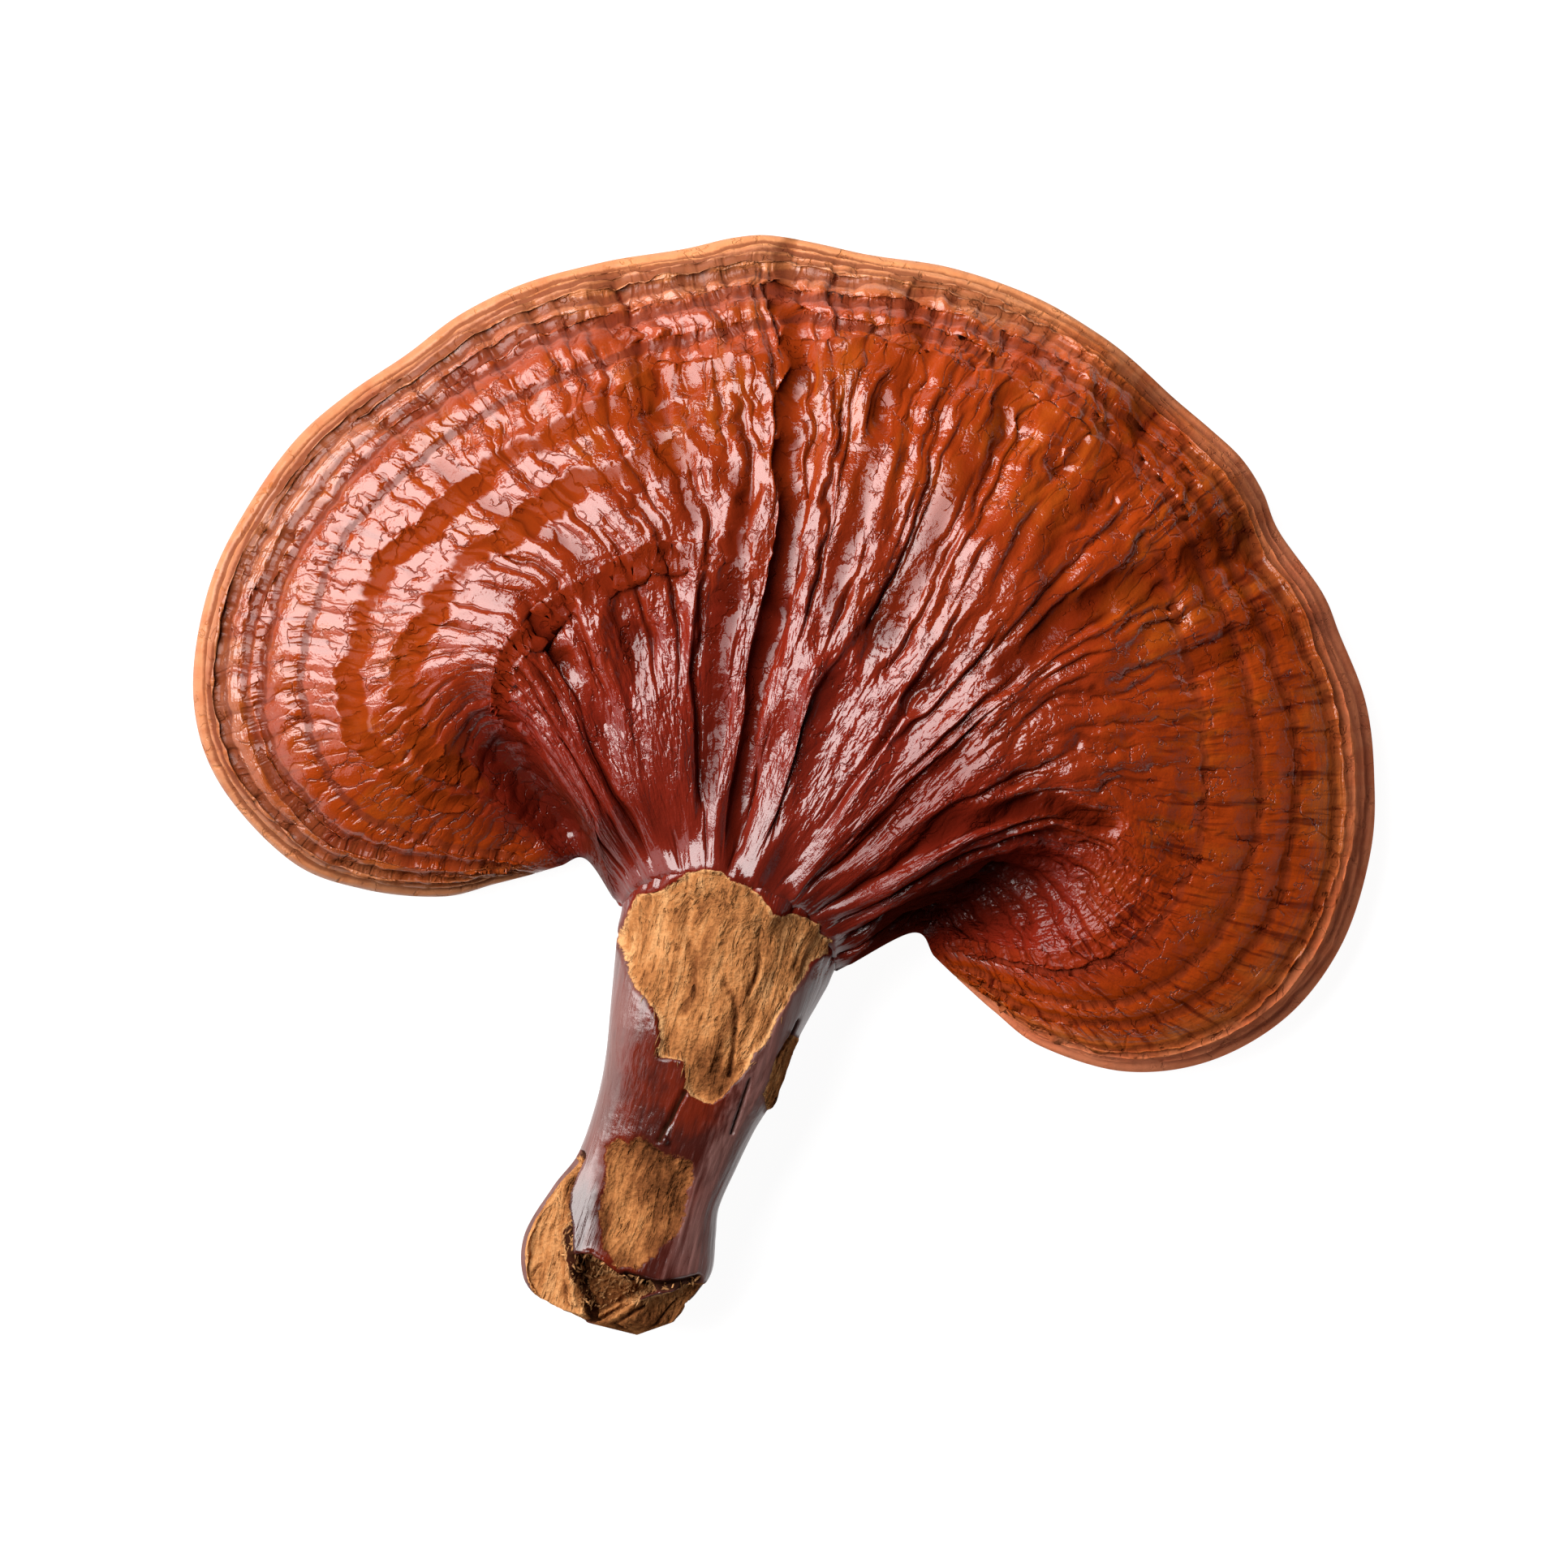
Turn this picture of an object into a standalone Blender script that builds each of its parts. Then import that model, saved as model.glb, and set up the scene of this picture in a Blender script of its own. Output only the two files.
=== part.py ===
"""A dried reishi mushroom lying on its pore face: a fan-shaped lacquered cap and its short side stem.

Lengths in this file are millimetres until the meshes are made, which are in metres. +X is the long way
across the fan, +Y runs from the foot of the stem to the far rim, and the pore face lies on z = 0.

The cap is laid out the way it grew. A station runs along the rim from the left end of the fan (0) to
the right end (32), and reach runs outwards from the neck (0) over an inner growth line (1) and an
outer growth line (2) to the rim (3).
"""

import math

import bmesh
import bpy
import numpy as np

MM = 0.001

# Grid of the solids
STATIONS = 32.0
RIM_REACH = 3.0
CAP_COLUMNS = 88
CAP_ROWS_PER_ZONE = (8, 9, 16)
RIM_ROW_CLOSING = 1.5
PORE_FACE_ROWS = (0.0, 0.15, 0.3, 0.45, 0.6, 1.0, 1.8, 2.5, 2.84, 2.92, 2.97)
STEM_SIDES = 32
STEM_RINGS = 28

# The neck, where cap and stem meet
NECK_LEFT = (-20.8, -15.5)
NECK_RIGHT = (6.6, -23.7)
NECK_HEIGHT = 14.0
NECK_HALF_HEIGHT = 10.5
NECK_HALF_WIDTH = math.dist(NECK_LEFT, NECK_RIGHT) / 2.0
NECK_BLEND_REACH = 0.3
NECK_ARCH = 7.8
NECK_ARCH_RINGS = 5
NECK_GAP = 0.3
WELD = 0.000002

# Growth lines of the cap, seen from above: station, x, y
INNER_LINE = (
    (0, -25.1, -9.6), (1, -28.1, -3.7), (2, -32.1, 1.9), (3, -34.4, 6.3), (4, -35.5, 9.8),
    (6, -34.7, 14.8), (8, -30.0, 20.4), (10, -21.7, 25.6), (12, -11.7, 28.2), (14, -0.6, 28.8),
    (16, 8.4, 26.3), (18, 17.5, 20.8), (20, 25.5, 14.2), (22, 30.1, 8.7), (24, 33.4, -0.9),
    (26, 32.5, -7.9), (27, 30.7, -10.3), (28, 27.9, -12.3), (29, 24.4, -14.3), (30, 20.9, -16.5),
    (31, 18.5, -17.8), (32, 16.3, -18.9),
)
OUTER_LINE = (
    (0, -28.4, -10.4), (1, -31.9, -6.5), (2, -37.4, -3.4), (3, -43.4, -1.4), (4, -48.4, 1.2),
    (5, -52.5, 6.3), (6, -53.8, 13.9), (8, -49.5, 28.1), (10, -36.1, 40.7), (12, -17.8, 49.3),
    (14, -0.1, 52.9), (16, 16.6, 51.8), (18, 31.3, 45.2), (20, 43.9, 33.1), (22, 50.2, 16.9),
    (24, 52.1, -0.4), (26, 48.1, -14.6), (27, 43.1, -20.2), (28, 37.0, -22.9), (29, 30.8, -23.1),
    (30, 25.2, -21.8), (31, 21.3, -20.8), (32, 19.1, -21.9),
)
RIM = (
    (0, -32.0, -11.5), (1, -36.7, -12.7), (2, -43.4, -14.3), (3, -53.2, -13.4), (4, -62.6, -9.8),
    (5, -71.7, 0.1), (6, -75.0, 10.8), (7, -73.5, 23.3), (8, -69.0, 33.7), (9, -60.4, 45.4),
    (9.5, -54.6, 50.1), (10, -48.0, 54.5), (10.5, -41.8, 59.2), (11, -35.6, 62.5), (12, -23.3, 66.2),
    (13, -11.9, 68.1), (13.5, -6.8, 69.3), (14, -2.2, 69.7), (14.5, 3.5, 68.8), (15, 9.7, 67.4),
    (16, 21.0, 65.6), (17, 31.3, 62.1), (18, 38.8, 57.9), (19, 45.0, 53.2), (19.5, 49.4, 49.1),
    (20, 54.2, 45.0), (20.5, 58.1, 41.3), (21, 60.8, 37.1), (21.5, 62.9, 32.0), (22, 68.3, 24.4),
    (22.5, 70.6, 18.9), (23, 73.4, 12.0), (24, 75.0, -0.4), (25, 74.2, -10.1), (26, 70.6, -20.8),
    (27, 63.8, -29.6), (28, 54.0, -35.2), (29, 43.2, -36.5), (30, 32.6, -33.3), (31, 26.7, -28.9),
    (32, 22.0, -24.7),
)

# Heights of the upper face on those lines: station, z
RIM_MIDDLE = 4.5
INNER_HEIGHT = (
    (0, 7), (1, 9), (2, 14), (3, 20), (5, 26), (9, 28), (16, 29), (21, 29), (25, 25.5), (26, 22.5),
    (27, 18), (28, 13.5), (29, 10.5), (30.5, 8), (32, 7),
)
OUTER_HEIGHT = (
    (0, 8), (1, 10), (2, 14), (4, 18), (7, 20), (14, 21.5), (20, 22.5), (25, 21), (27, 19.5),
    (29, 17), (30, 13), (31, 10), (32, 8),
)
RIM_HEIGHT = (
    (0, 8), (2, 8.5), (8, 9.5), (12, 9), (13, 9.8), (14.2, 8.6), (15.5, 10), (17.5, 9),
    (18.6, 10.5), (19.4, 9), (20.4, 11), (21.4, 9), (22.2, 10.5), (23.2, 9.5), (26, 9.5), (30, 9),
    (32, 8),
)
RIM_ROUND = 3.2
SIDE_ROUND = 4.0
SHOULDER_REACH = 0.6

# Growth furrows: depth, half width in reach, then station and reach along each
GROWTH_FURROWS = (
    (0.9, 0.05, ((3, 0.98), (8, 1.0), (14, 1.02), (20, 1.0), (29, 1.0))),
    (1.3, 0.09, ((3, 1.76), (5, 1.70), (7, 1.61), (9, 1.55), (12, 1.56))),
    (1.2, 0.07, ((3, 2.04), (6, 2.03), (9, 1.96), (13, 2.02), (17, 2.10), (19, 2.11), (21, 2.23),
                 (24, 2.44), (29, 2.49))),
    (0.7, 0.04, ((1, 2.52), (3, 2.46), (5, 2.36), (9, 2.30), (13, 2.31))),
    (1.0, 0.05, ((3, 2.66), (7, 2.57), (11, 2.59), (16, 2.56), (19, 2.58), (21, 2.66), (23, 2.74),
                 (26, 2.80), (31, 2.83))),
    (0.9, 0.03, ((1, 2.74), (3, 2.84), (8, 2.82), (11, 2.79), (14, 2.70), (16, 2.74))),
    (0.6, 0.05, ((21, 2.10), (24, 2.29), (27, 2.36), (30, 2.38))),
    (0.9, 0.06, ((22, 1.88), (25, 1.90), (30, 1.86))),
)
FURROW_FADE_STATIONS = 1.5

# Folds along the growth: depth, half width in stations, first and last reach, station at each
RADIAL_FOLDS = (
    (2.0, 0.32, 0.2, 3.0, 14.0, 14.2),
    (1.0, 0.25, 0.3, 1.3, 12.6, 13.1),
    (0.9, 0.30, 1.2, 2.9, 12.1, 12.0),
    (0.9, 0.30, 0.9, 2.8, 15.6, 15.8),
    (0.9, 0.35, 0.9, 2.7, 17.3, 17.5),
    (1.5, 0.35, 1.6, 3.0, 19.2, 19.4),
    (1.5, 0.35, 1.0, 2.6, 20.7, 21.1),
    (1.0, 0.30, 2.1, 3.0, 22.2, 22.3),
    (1.2, 0.35, 0.5, 1.3, 23.4, 25.2),
    (0.9, 0.30, 0.6, 1.3, 8.2, 7.6),
    (0.8, 0.30, 1.1, 2.2, 9.6, 9.4),
)
FOLD_FADE_REACH = 0.25

# Low lumps of the upper face: height, waves in radians per station and per reach, last reach
LUMP_HEIGHT = 0.6
LUMP_WAVES = ((2.3, 4.0), (-0.9, 5.1))
LUMP_LAST_REACH = 2.6
LUMP_FADE_REACH = 0.6

# Rings of the stem from neck to foot: left x, left y, right x, right y, middle height, half height
STEM_SECTIONS = (
    (*NECK_LEFT, *NECK_RIGHT, NECK_HEIGHT, NECK_HALF_HEIGHT),
    (-21.7, -25.4, 1.9, -32.1, 12.8, 9.9),
    (-22.5, -34.1, -1.1, -39.3, 11.5, 9.3),
    (-23.8, -40.3, -3.7, -43.7, 10.5, 8.8),
    (-26.1, -46.6, -6.1, -48.7, 9.7, 8.6),
    (-29.3, -50.8, -8.1, -53.4, 9.3, 8.7),
    (-32.9, -56.8, -8.5, -57.0, 9.2, 9.0),
    (-33.2, -61.9, -9.0, -61.5, 9.2, 9.2),
    (-31.0, -65.1, -11.2, -64.8, 9.0, 8.4),
    (-24.8, -68.0, -13.1, -67.9, 8.6, 5.6),
)
FOOT_END = (-18.6, -69.7, 8.2)
STEM_RIDGE_SHIFT = 0.34

# Patches where the crust has come away, seen from above: x, y
UPPER_PATCH = (
    (-18.4, -13.0), (-14.3, -13.0), (-8.7, -10.7), (-3.7, -13.0), (-0.4, -16.1), (4.0, -16.8),
    (6.3, -20.1), (1.9, -25.2), (-2.6, -32.0), (-6.7, -38.9), (-9.7, -40.0), (-13.0, -37.4),
    (-13.0, -34.1), (-15.8, -33.6), (-16.0, -29.3), (-19.6, -23.7), (-20.9, -19.8),
)
LOWER_PATCH = (
    (-22.2, -45.1), (-16.9, -43.9), (-11.8, -45.1), (-9.6, -47.4), (-11.0, -54.8),
    (-14.7, -60.4), (-19.4, -58.9), (-22.2, -54.3), (-23.2, -49.7),
)
PATCH_DEPTH = 0.5
PATCH_EDGE = 0.9

# Cracks of the stem: depth, half width, then x and y along each
STEM_CRACKS = (
    (1.6, 1.6, ((-25.9, -48.3), (-27.4, -53.4), (-27.5, -58.5), (-27.0, -62.6), (-25.6, -67.2))),
    (1.3, 1.5, ((-26.0, -59.5), (-20.0, -62.0), (-15.5, -63.5), (-10.5, -61.5))),
    (0.9, 1.2, ((-12.5, -38.5), (-14.2, -41.5), (-15.7, -44.6))),
    (0.9, 1.3, ((2.5, -31.2), (-0.6, -38.0), (-3.5, -45.0), (-7.0, -50.0))),
)

CRUST_COLOUR = (0.30, 0.060, 0.018, 1.0)
CRUST_ROUGHNESS = 0.25
STEM_COLOUR = (0.12, 0.022, 0.018, 1.0)
STEM_ROUGHNESS = 0.35


def clear_scene():
    for thing in list(bpy.data.objects):
        bpy.data.objects.remove(thing, do_unlink=True)


def make_material(name, colour, roughness):
    material = bpy.data.materials.new(name)
    material.use_nodes = True
    shader = material.node_tree.nodes["Principled BSDF"]
    shader.inputs["Base Color"].default_value = colour
    shader.inputs["Roughness"].default_value = roughness
    shader.inputs["Metallic"].default_value = 0.0
    return material


def smooth(x):
    """Eases from 0 to 1 as x goes from 0 to 1."""
    x = np.clip(x, 0.0, 1.0)
    return x * x * (3.0 - 2.0 * x)


def round_over(x):
    """The height of a quarter circle of radius 1 at x from its foot."""
    return np.sqrt(1.0 - (1.0 - np.clip(x, 0.0, 1.0)) ** 2)


def curve(keys, at):
    """Reads a smooth curve through keys of (place, value, ...) at the places asked for."""
    keys = np.array(keys, float)
    places, values = keys[:, 0], keys[:, 1:]
    slopes = np.gradient(values, places, axis=0)
    at = np.clip(np.asarray(at, float), places[0], places[-1])
    left = np.clip(np.searchsorted(places, at, side="right") - 1, 0, len(places) - 2)
    span = (places[left + 1] - places[left])[..., None]
    t = (at - places[left])[..., None] / span
    start, end = values[left], values[left + 1]
    leave, arrive = slopes[left] * span, slopes[left + 1] * span
    blend = (3.0 - 2.0 * t) * t * t
    bend = t * (1.0 - t) * ((1.0 - t) * leave - t * arrive)
    read = start + (end - start) * blend + bend
    return read[..., 0] if values.shape[1] == 1 else read


def across_lines(lines, reach):
    """Runs a smooth curve outwards through the four growth lines and reads it at every reach."""
    before = 2.0 * lines[0] - lines[1]
    after = 2.0 * lines[3] - lines[2]
    lines = np.stack([before, *lines, after])
    zone = np.clip(np.floor(reach).astype(int), 0, 2)
    t = reach - zone
    if lines.ndim == 3:
        t = t[..., None]
    column = np.arange(reach.shape[1])
    a, b, c, d = (lines[zone + step, column] for step in range(4))
    square = 2.0 * a - 5.0 * b + 4.0 * c - d
    cubic = 3.0 * b - a - 3.0 * c + d
    return 0.5 * (2.0 * b + (c - a) * t + square * t**2 + cubic * t**3)


def window(x, first, last, fade):
    """1 from first to last, easing to 0 over the fade outside each end."""
    return smooth((x - first) / fade + 1.0) * smooth((last - x) / fade + 1.0)


def groove(x):
    """The section of a furrow, with round shoulders on both sides."""
    return 1.0 / (1.0 + x * x)


def ring_frame(left, right):
    """Middle, half width and unit directions across and towards the cap of a ring seen from above."""
    left, right = np.array(left), np.array(right)
    half = (right - left) / 2.0
    width = np.linalg.norm(half)
    across = half / width
    return left + half, width, across, np.array([-across[1], across[0]])


def neck_plan(angle):
    """Plan points of the neck's oval, which arches towards the cap between its two sides."""
    middle, width, across, inward = ring_frame(NECK_LEFT, NECK_RIGHT)
    spread = width * np.cos(angle)[:, None] * across
    return middle + spread + NECK_ARCH * np.sin(angle)[:, None] * inward


def cap_relief(reach, station):
    """How far the growth furrows, folds and lumps lower the upper face."""
    drop = np.zeros_like(reach)
    for depth, half_width, track in GROWTH_FURROWS:
        shown = window(station, track[0][0], track[-1][0], FURROW_FADE_STATIONS)
        drop += depth * shown * groove((reach - curve(track, station)) / half_width)
    for depth, half_width, first, last, inner_station, outer_station in RADIAL_FOLDS:
        run = np.clip((reach - first) / (last - first), 0.0, 1.0)
        line = inner_station + (outer_station - inner_station) * run
        shown = window(reach, first, last, FOLD_FADE_REACH)
        drop += depth * shown * groove((station - line) / half_width)
    one, other = (np.sin(along * station + out * reach) for along, out in LUMP_WAVES)
    fade = smooth((LUMP_LAST_REACH - reach) / LUMP_FADE_REACH)
    drop += LUMP_HEIGHT * (0.5 + 0.5 * one * other) * fade
    return drop * smooth(reach / NECK_BLEND_REACH)


def cap_faces(rows, columns):
    """Points of the upper and the lower face on a grid of reach rows and station columns."""
    reach, station = np.meshgrid(rows, columns, indexing="ij")
    angle = math.pi * (1.0 - columns / STATIONS)
    lines = [curve(line, columns) for line in (INNER_LINE, OUTER_LINE, RIM)]
    plan = across_lines([neck_plan(angle), *lines], reach)

    every = np.ones(len(columns))
    heights = [curve(line, columns) for line in (INNER_HEIGHT, OUTER_HEIGHT, RIM_HEIGHT)]
    crown = across_lines([(NECK_HEIGHT + NECK_HALF_HEIGHT) * every, *heights], reach)
    edge = across_lines([NECK_HEIGHT * every, *[RIM_MIDDLE * every] * 3], reach)
    edge = np.maximum(edge, RIM_MIDDLE)
    floor = (NECK_HEIGHT - NECK_HALF_HEIGHT) * (1.0 - smooth(reach / SHOULDER_REACH))
    left, right = (np.linalg.norm(plan - plan[:, [end]], axis=-1) for end in (0, -1))
    radius = SIDE_ROUND + (NECK_HALF_WIDTH - SIDE_ROUND) * (1.0 - smooth(reach))
    side = round_over(np.minimum(left, right) / radius)
    side += (np.sin(angle) - side) * (1.0 - smooth(reach / NECK_BLEND_REACH))
    rim = round_over(np.linalg.norm(plan - lines[2], axis=-1) / RIM_ROUND)
    upper_z = edge + (crown - cap_relief(reach, station) - edge) * side
    lower_z = edge + (floor - edge) * side
    upper_z = RIM_MIDDLE + (upper_z - RIM_MIDDLE) * rim
    lower_z = RIM_MIDDLE + (lower_z - RIM_MIDDLE) * rim
    return np.dstack([plan, upper_z]), np.dstack([plan, lower_z])


def cap_rows():
    """Reach of each row of the upper face, closing up towards the rim."""
    inner, middle, outer = CAP_ROWS_PER_ZONE
    last = RIM_REACH - (1.0 - np.arange(outer + 1) / outer) ** RIM_ROW_CLOSING
    return np.concatenate([np.arange(inner) / inner, 1.0 + np.arange(middle) / middle, last])


def signed_distance(outline, x, y):
    """Distance from a closed outline seen from above, positive inside it."""
    outline = np.array(outline, float)
    nearest = np.full(x.shape, np.inf)
    inside = np.zeros(x.shape, bool)
    for (ax, ay), (bx, by) in zip(outline, np.roll(outline, -1, axis=0)):
        t = ((x - ax) * (bx - ax) + (y - ay) * (by - ay)) / ((bx - ax) ** 2 + (by - ay) ** 2)
        t = np.clip(t, 0.0, 1.0)
        nearest = np.minimum(nearest, np.hypot(x - ax - t * (bx - ax), y - ay - t * (by - ay)))
        if ay != by:
            crosses = ((ay > y) != (by > y)) & (x < ax + (y - ay) * (bx - ax) / (by - ay))
            inside ^= crosses
    return np.where(inside, nearest, -nearest)


def line_distance(points, x, y):
    """Distance from a chain of points seen from above."""
    nearest = np.full(x.shape, np.inf)
    for (ax, ay), (bx, by) in zip(points, points[1:]):
        t = ((x - ax) * (bx - ax) + (y - ay) * (by - ay)) / ((bx - ax) ** 2 + (by - ay) ** 2)
        t = np.clip(t, 0.0, 1.0)
        nearest = np.minimum(nearest, np.hypot(x - ax - t * (bx - ax), y - ay - t * (by - ay)))
    return nearest


def stem_rings():
    """Points of the stem's rings, from the neck to the foot."""
    keys = [(number, *section) for number, section in enumerate(STEM_SECTIONS)]
    place = (len(keys) - 1) * np.arange(STEM_RINGS) / (STEM_RINGS - 1)
    angle = 2.0 * math.pi * np.arange(STEM_SIDES) / STEM_SIDES
    above = np.maximum(np.sin(angle), 0.0)
    rings = []
    for section in curve(keys, place):
        middle, width, across, inward = ring_frame(section[:2], section[2:4])
        arched = 1.0 - smooth(len(rings) / NECK_ARCH_RINGS)
        spread = width * (np.cos(angle) + STEM_RIDGE_SHIFT * (1.0 - arched) * above**2)
        along = NECK_ARCH * arched * np.abs(np.sin(angle)) - NECK_GAP
        plan = middle + spread[:, None] * across + along[:, None] * inward
        rings.append(np.column_stack([plan, section[4] + section[5] * np.sin(angle)]))
    return np.array(rings)


def stem_relief(points):
    """How far bare patches and cracks lower the stem's upper side."""
    x, y, z = np.moveaxis(points, -1, 0)
    bare = np.maximum(signed_distance(UPPER_PATCH, x, y), signed_distance(LOWER_PATCH, x, y))
    drop = PATCH_DEPTH * smooth(bare / PATCH_EDGE)
    for depth, half_width, crack in STEM_CRACKS:
        drop = np.maximum(drop, depth * smooth(1.0 - line_distance(crack, x, y) / half_width))
    return drop * smooth((z - NECK_HEIGHT / 2.0) / (NECK_HEIGHT / 2.0))


def lay_grid(mesh, points, wrap=False):
    """Adds a grid of points and its faces, and returns its vertices by row."""
    rows = [[mesh.verts.new(point * MM) for point in row] for row in points]
    for lower, upper in zip(rows, rows[1:]):
        columns = range(len(lower)) if wrap else range(len(lower) - 1)
        for left in columns:
            right = (left + 1) % len(lower)
            mesh.faces.new((lower[left], lower[right], upper[right], upper[left]))
    return rows


def close_with_fan(mesh, ring, centre):
    """Closes a ring of vertices with triangles to one middle point."""
    tip = mesh.verts.new(np.array(centre) * MM)
    for first, second in zip(ring, ring[1:] + ring[:1]):
        mesh.faces.new((first, second, tip))


def finish(mesh, name, material):
    """Welds the seams, turns the faces outwards and puts the piece in the scene."""
    bmesh.ops.remove_doubles(mesh, verts=mesh.verts, dist=WELD)
    bmesh.ops.triangulate(mesh, faces=mesh.faces)
    bmesh.ops.recalc_face_normals(mesh, faces=mesh.faces)
    data = bpy.data.meshes.new(name)
    mesh.to_mesh(data)
    mesh.free()
    data.materials.append(material)
    data.shade_smooth()
    piece = bpy.data.objects.new(name, data)
    bpy.context.scene.collection.objects.link(piece)


def neck_middle(gap):
    """The middle of the joint at the neck, set back from the cap by a gap."""
    middle, _, _, inward = ring_frame(NECK_LEFT, NECK_RIGHT)
    return (*(middle - gap * inward), NECK_HEIGHT)


def zip_up(mesh, first, second):
    """Joins two chains of (reach, vertex) with triangles, stepping along whichever is behind."""
    i, j = 0, 0
    while i < len(first) - 1 or j < len(second) - 1:
        step_first = j == len(second) - 1 or (i < len(first) - 1 and first[i + 1][0] <= second[j + 1][0])
        third = first[i + 1][1] if step_first else second[j + 1][1]
        mesh.faces.new((first[i][1], second[j][1], third))
        i, j = (i + 1, j) if step_first else (i, j + 1)


def make_cap(material):
    columns = np.linspace(0.0, STATIONS, CAP_COLUMNS + 1)
    upper_reach = cap_rows()
    lower_reach = [*PORE_FACE_ROWS, RIM_REACH]
    upper, _ = cap_faces(upper_reach, columns)
    _, lower = cap_faces(np.array(lower_reach), columns)
    mesh = bmesh.new()
    upper_rows = lay_grid(mesh, upper)
    lower_rows = lay_grid(mesh, lower[:, 1:-1])
    for column in (0, -1):
        side = [(reach, row[column]) for reach, row in zip(upper_reach, upper_rows)]
        pore_face = [(reach, row[column]) for reach, row in zip(lower_reach, lower_rows)]
        zip_up(mesh, side, pore_face)
    close_with_fan(mesh, upper_rows[0] + lower_rows[0][::-1], neck_middle(0.0))
    finish(mesh, "cap", material)


def make_stem(material):
    points = stem_rings()
    points[..., 2] -= stem_relief(points)
    mesh = bmesh.new()
    rings = lay_grid(mesh, points, wrap=True)
    close_with_fan(mesh, rings[0], neck_middle(NECK_GAP))
    close_with_fan(mesh, rings[-1], FOOT_END)
    finish(mesh, "stem", material)


clear_scene()
make_cap(make_material("lacquered crust", CRUST_COLOUR, CRUST_ROUGHNESS))
make_stem(make_material("stem crust", STEM_COLOUR, STEM_ROUGHNESS))
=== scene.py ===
"""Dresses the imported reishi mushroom: lacquered crust, bare wood, torn foot and pore face.

The mushroom lies on its pore face and the camera looks straight down on it. Lengths are
millimetres until a mesh is made, and metres in the scene. +X is the long way across the fan, and
+Y runs from the foot of the stem to the far rim.
"""

import math

import bmesh
import bpy
import numpy as np
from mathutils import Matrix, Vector


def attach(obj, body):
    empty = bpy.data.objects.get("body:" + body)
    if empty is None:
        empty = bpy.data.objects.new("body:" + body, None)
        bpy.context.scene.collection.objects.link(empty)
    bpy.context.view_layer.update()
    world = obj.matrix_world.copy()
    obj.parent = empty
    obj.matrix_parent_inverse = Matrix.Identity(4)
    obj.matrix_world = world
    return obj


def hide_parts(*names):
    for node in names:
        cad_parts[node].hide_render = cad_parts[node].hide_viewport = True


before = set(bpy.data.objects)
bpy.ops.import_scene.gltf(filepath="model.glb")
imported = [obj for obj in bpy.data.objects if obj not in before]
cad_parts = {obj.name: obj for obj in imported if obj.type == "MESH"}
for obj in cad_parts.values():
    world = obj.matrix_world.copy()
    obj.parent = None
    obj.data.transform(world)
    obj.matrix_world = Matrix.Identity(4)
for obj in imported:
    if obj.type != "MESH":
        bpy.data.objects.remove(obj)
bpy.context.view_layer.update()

MM = 0.001


# ---- Cap ---------------------------------------------------------------------
# The cap is one woody body that grew outwards from the neck, a band at a time, and dried. Its
# upper face is a hard crust with a gloss like lacquer, furrowed along the rim and wrinkled across
# it, and its lower face is flat and finely pored. The stem carries it at the neck.
#
# It is laid out the way it grew. A station runs along the rim from the left end of the fan (0) to
# the right end (32), and reach runs from the neck (0) over two growth lines (1, 2) to the rim
# (3).

STATIONS = 32.0
RIM_REACH = 3.0
CAP_COLUMNS = 560
CAP_ROWS_PER_ZONE = (50, 44, 64)
RIM_ROW_CLOSING = 1.4
PORE_COLUMN_STEP = 4
PORE_FACE_ROWS = (
    0.0, 0.08, 0.15, 0.22, 0.3, 0.37, 0.45, 0.52, 0.6, 0.8, 1.0, 1.3, 1.6, 1.9, 2.2, 2.5, 2.7, 2.8,
    2.86, 2.9, 2.93, 2.955, 2.975, 2.99,
)

NECK_LEFT = (-20.8, -15.5)
NECK_RIGHT = (6.6, -23.7)
NECK_HEIGHT = 14.0
NECK_HALF_HEIGHT = 10.5
NECK_HALF_WIDTH = math.dist(NECK_LEFT, NECK_RIGHT) / 2.0
NECK_BLEND_REACH = 0.3
NECK_ARCH = 7.8

# Growth lines seen from above: station, x, y
INNER_LINE = (
    (0, -25.1, -9.6), (1, -28.1, -3.7), (2, -32.1, 1.9), (3, -34.4, 6.3), (4, -35.5, 9.8),
    (6, -34.7, 14.8), (8, -30.0, 20.4), (10, -21.7, 25.6), (12, -11.7, 28.2), (14, -0.6, 28.8),
    (16, 8.4, 26.3), (18, 17.5, 20.8), (20, 25.5, 14.2), (22, 30.1, 8.7), (24, 33.4, -0.9),
    (26, 32.5, -7.9), (27, 30.7, -10.3), (28, 27.9, -12.3), (29, 24.4, -14.3), (30, 20.9, -16.5),
    (31, 18.5, -17.8), (32, 16.3, -18.9),
)
OUTER_LINE = (
    (0, -28.4, -10.4), (1, -31.9, -6.5), (2, -37.4, -3.4), (3, -43.4, -1.4), (4, -48.4, 1.2),
    (5, -52.5, 6.3), (6, -53.8, 13.9), (8, -49.5, 28.1), (10, -36.1, 40.7), (12, -17.8, 49.3),
    (14, -0.1, 52.9), (16, 16.6, 51.8), (18, 31.3, 45.2), (20, 43.9, 33.1), (22, 50.2, 16.9),
    (24, 52.1, -0.4), (26, 48.1, -14.6), (27, 43.1, -20.2), (28, 37.0, -22.9), (29, 30.8, -23.1),
    (30, 25.2, -21.8), (31, 21.3, -20.8), (32, 19.1, -21.9),
)
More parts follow.
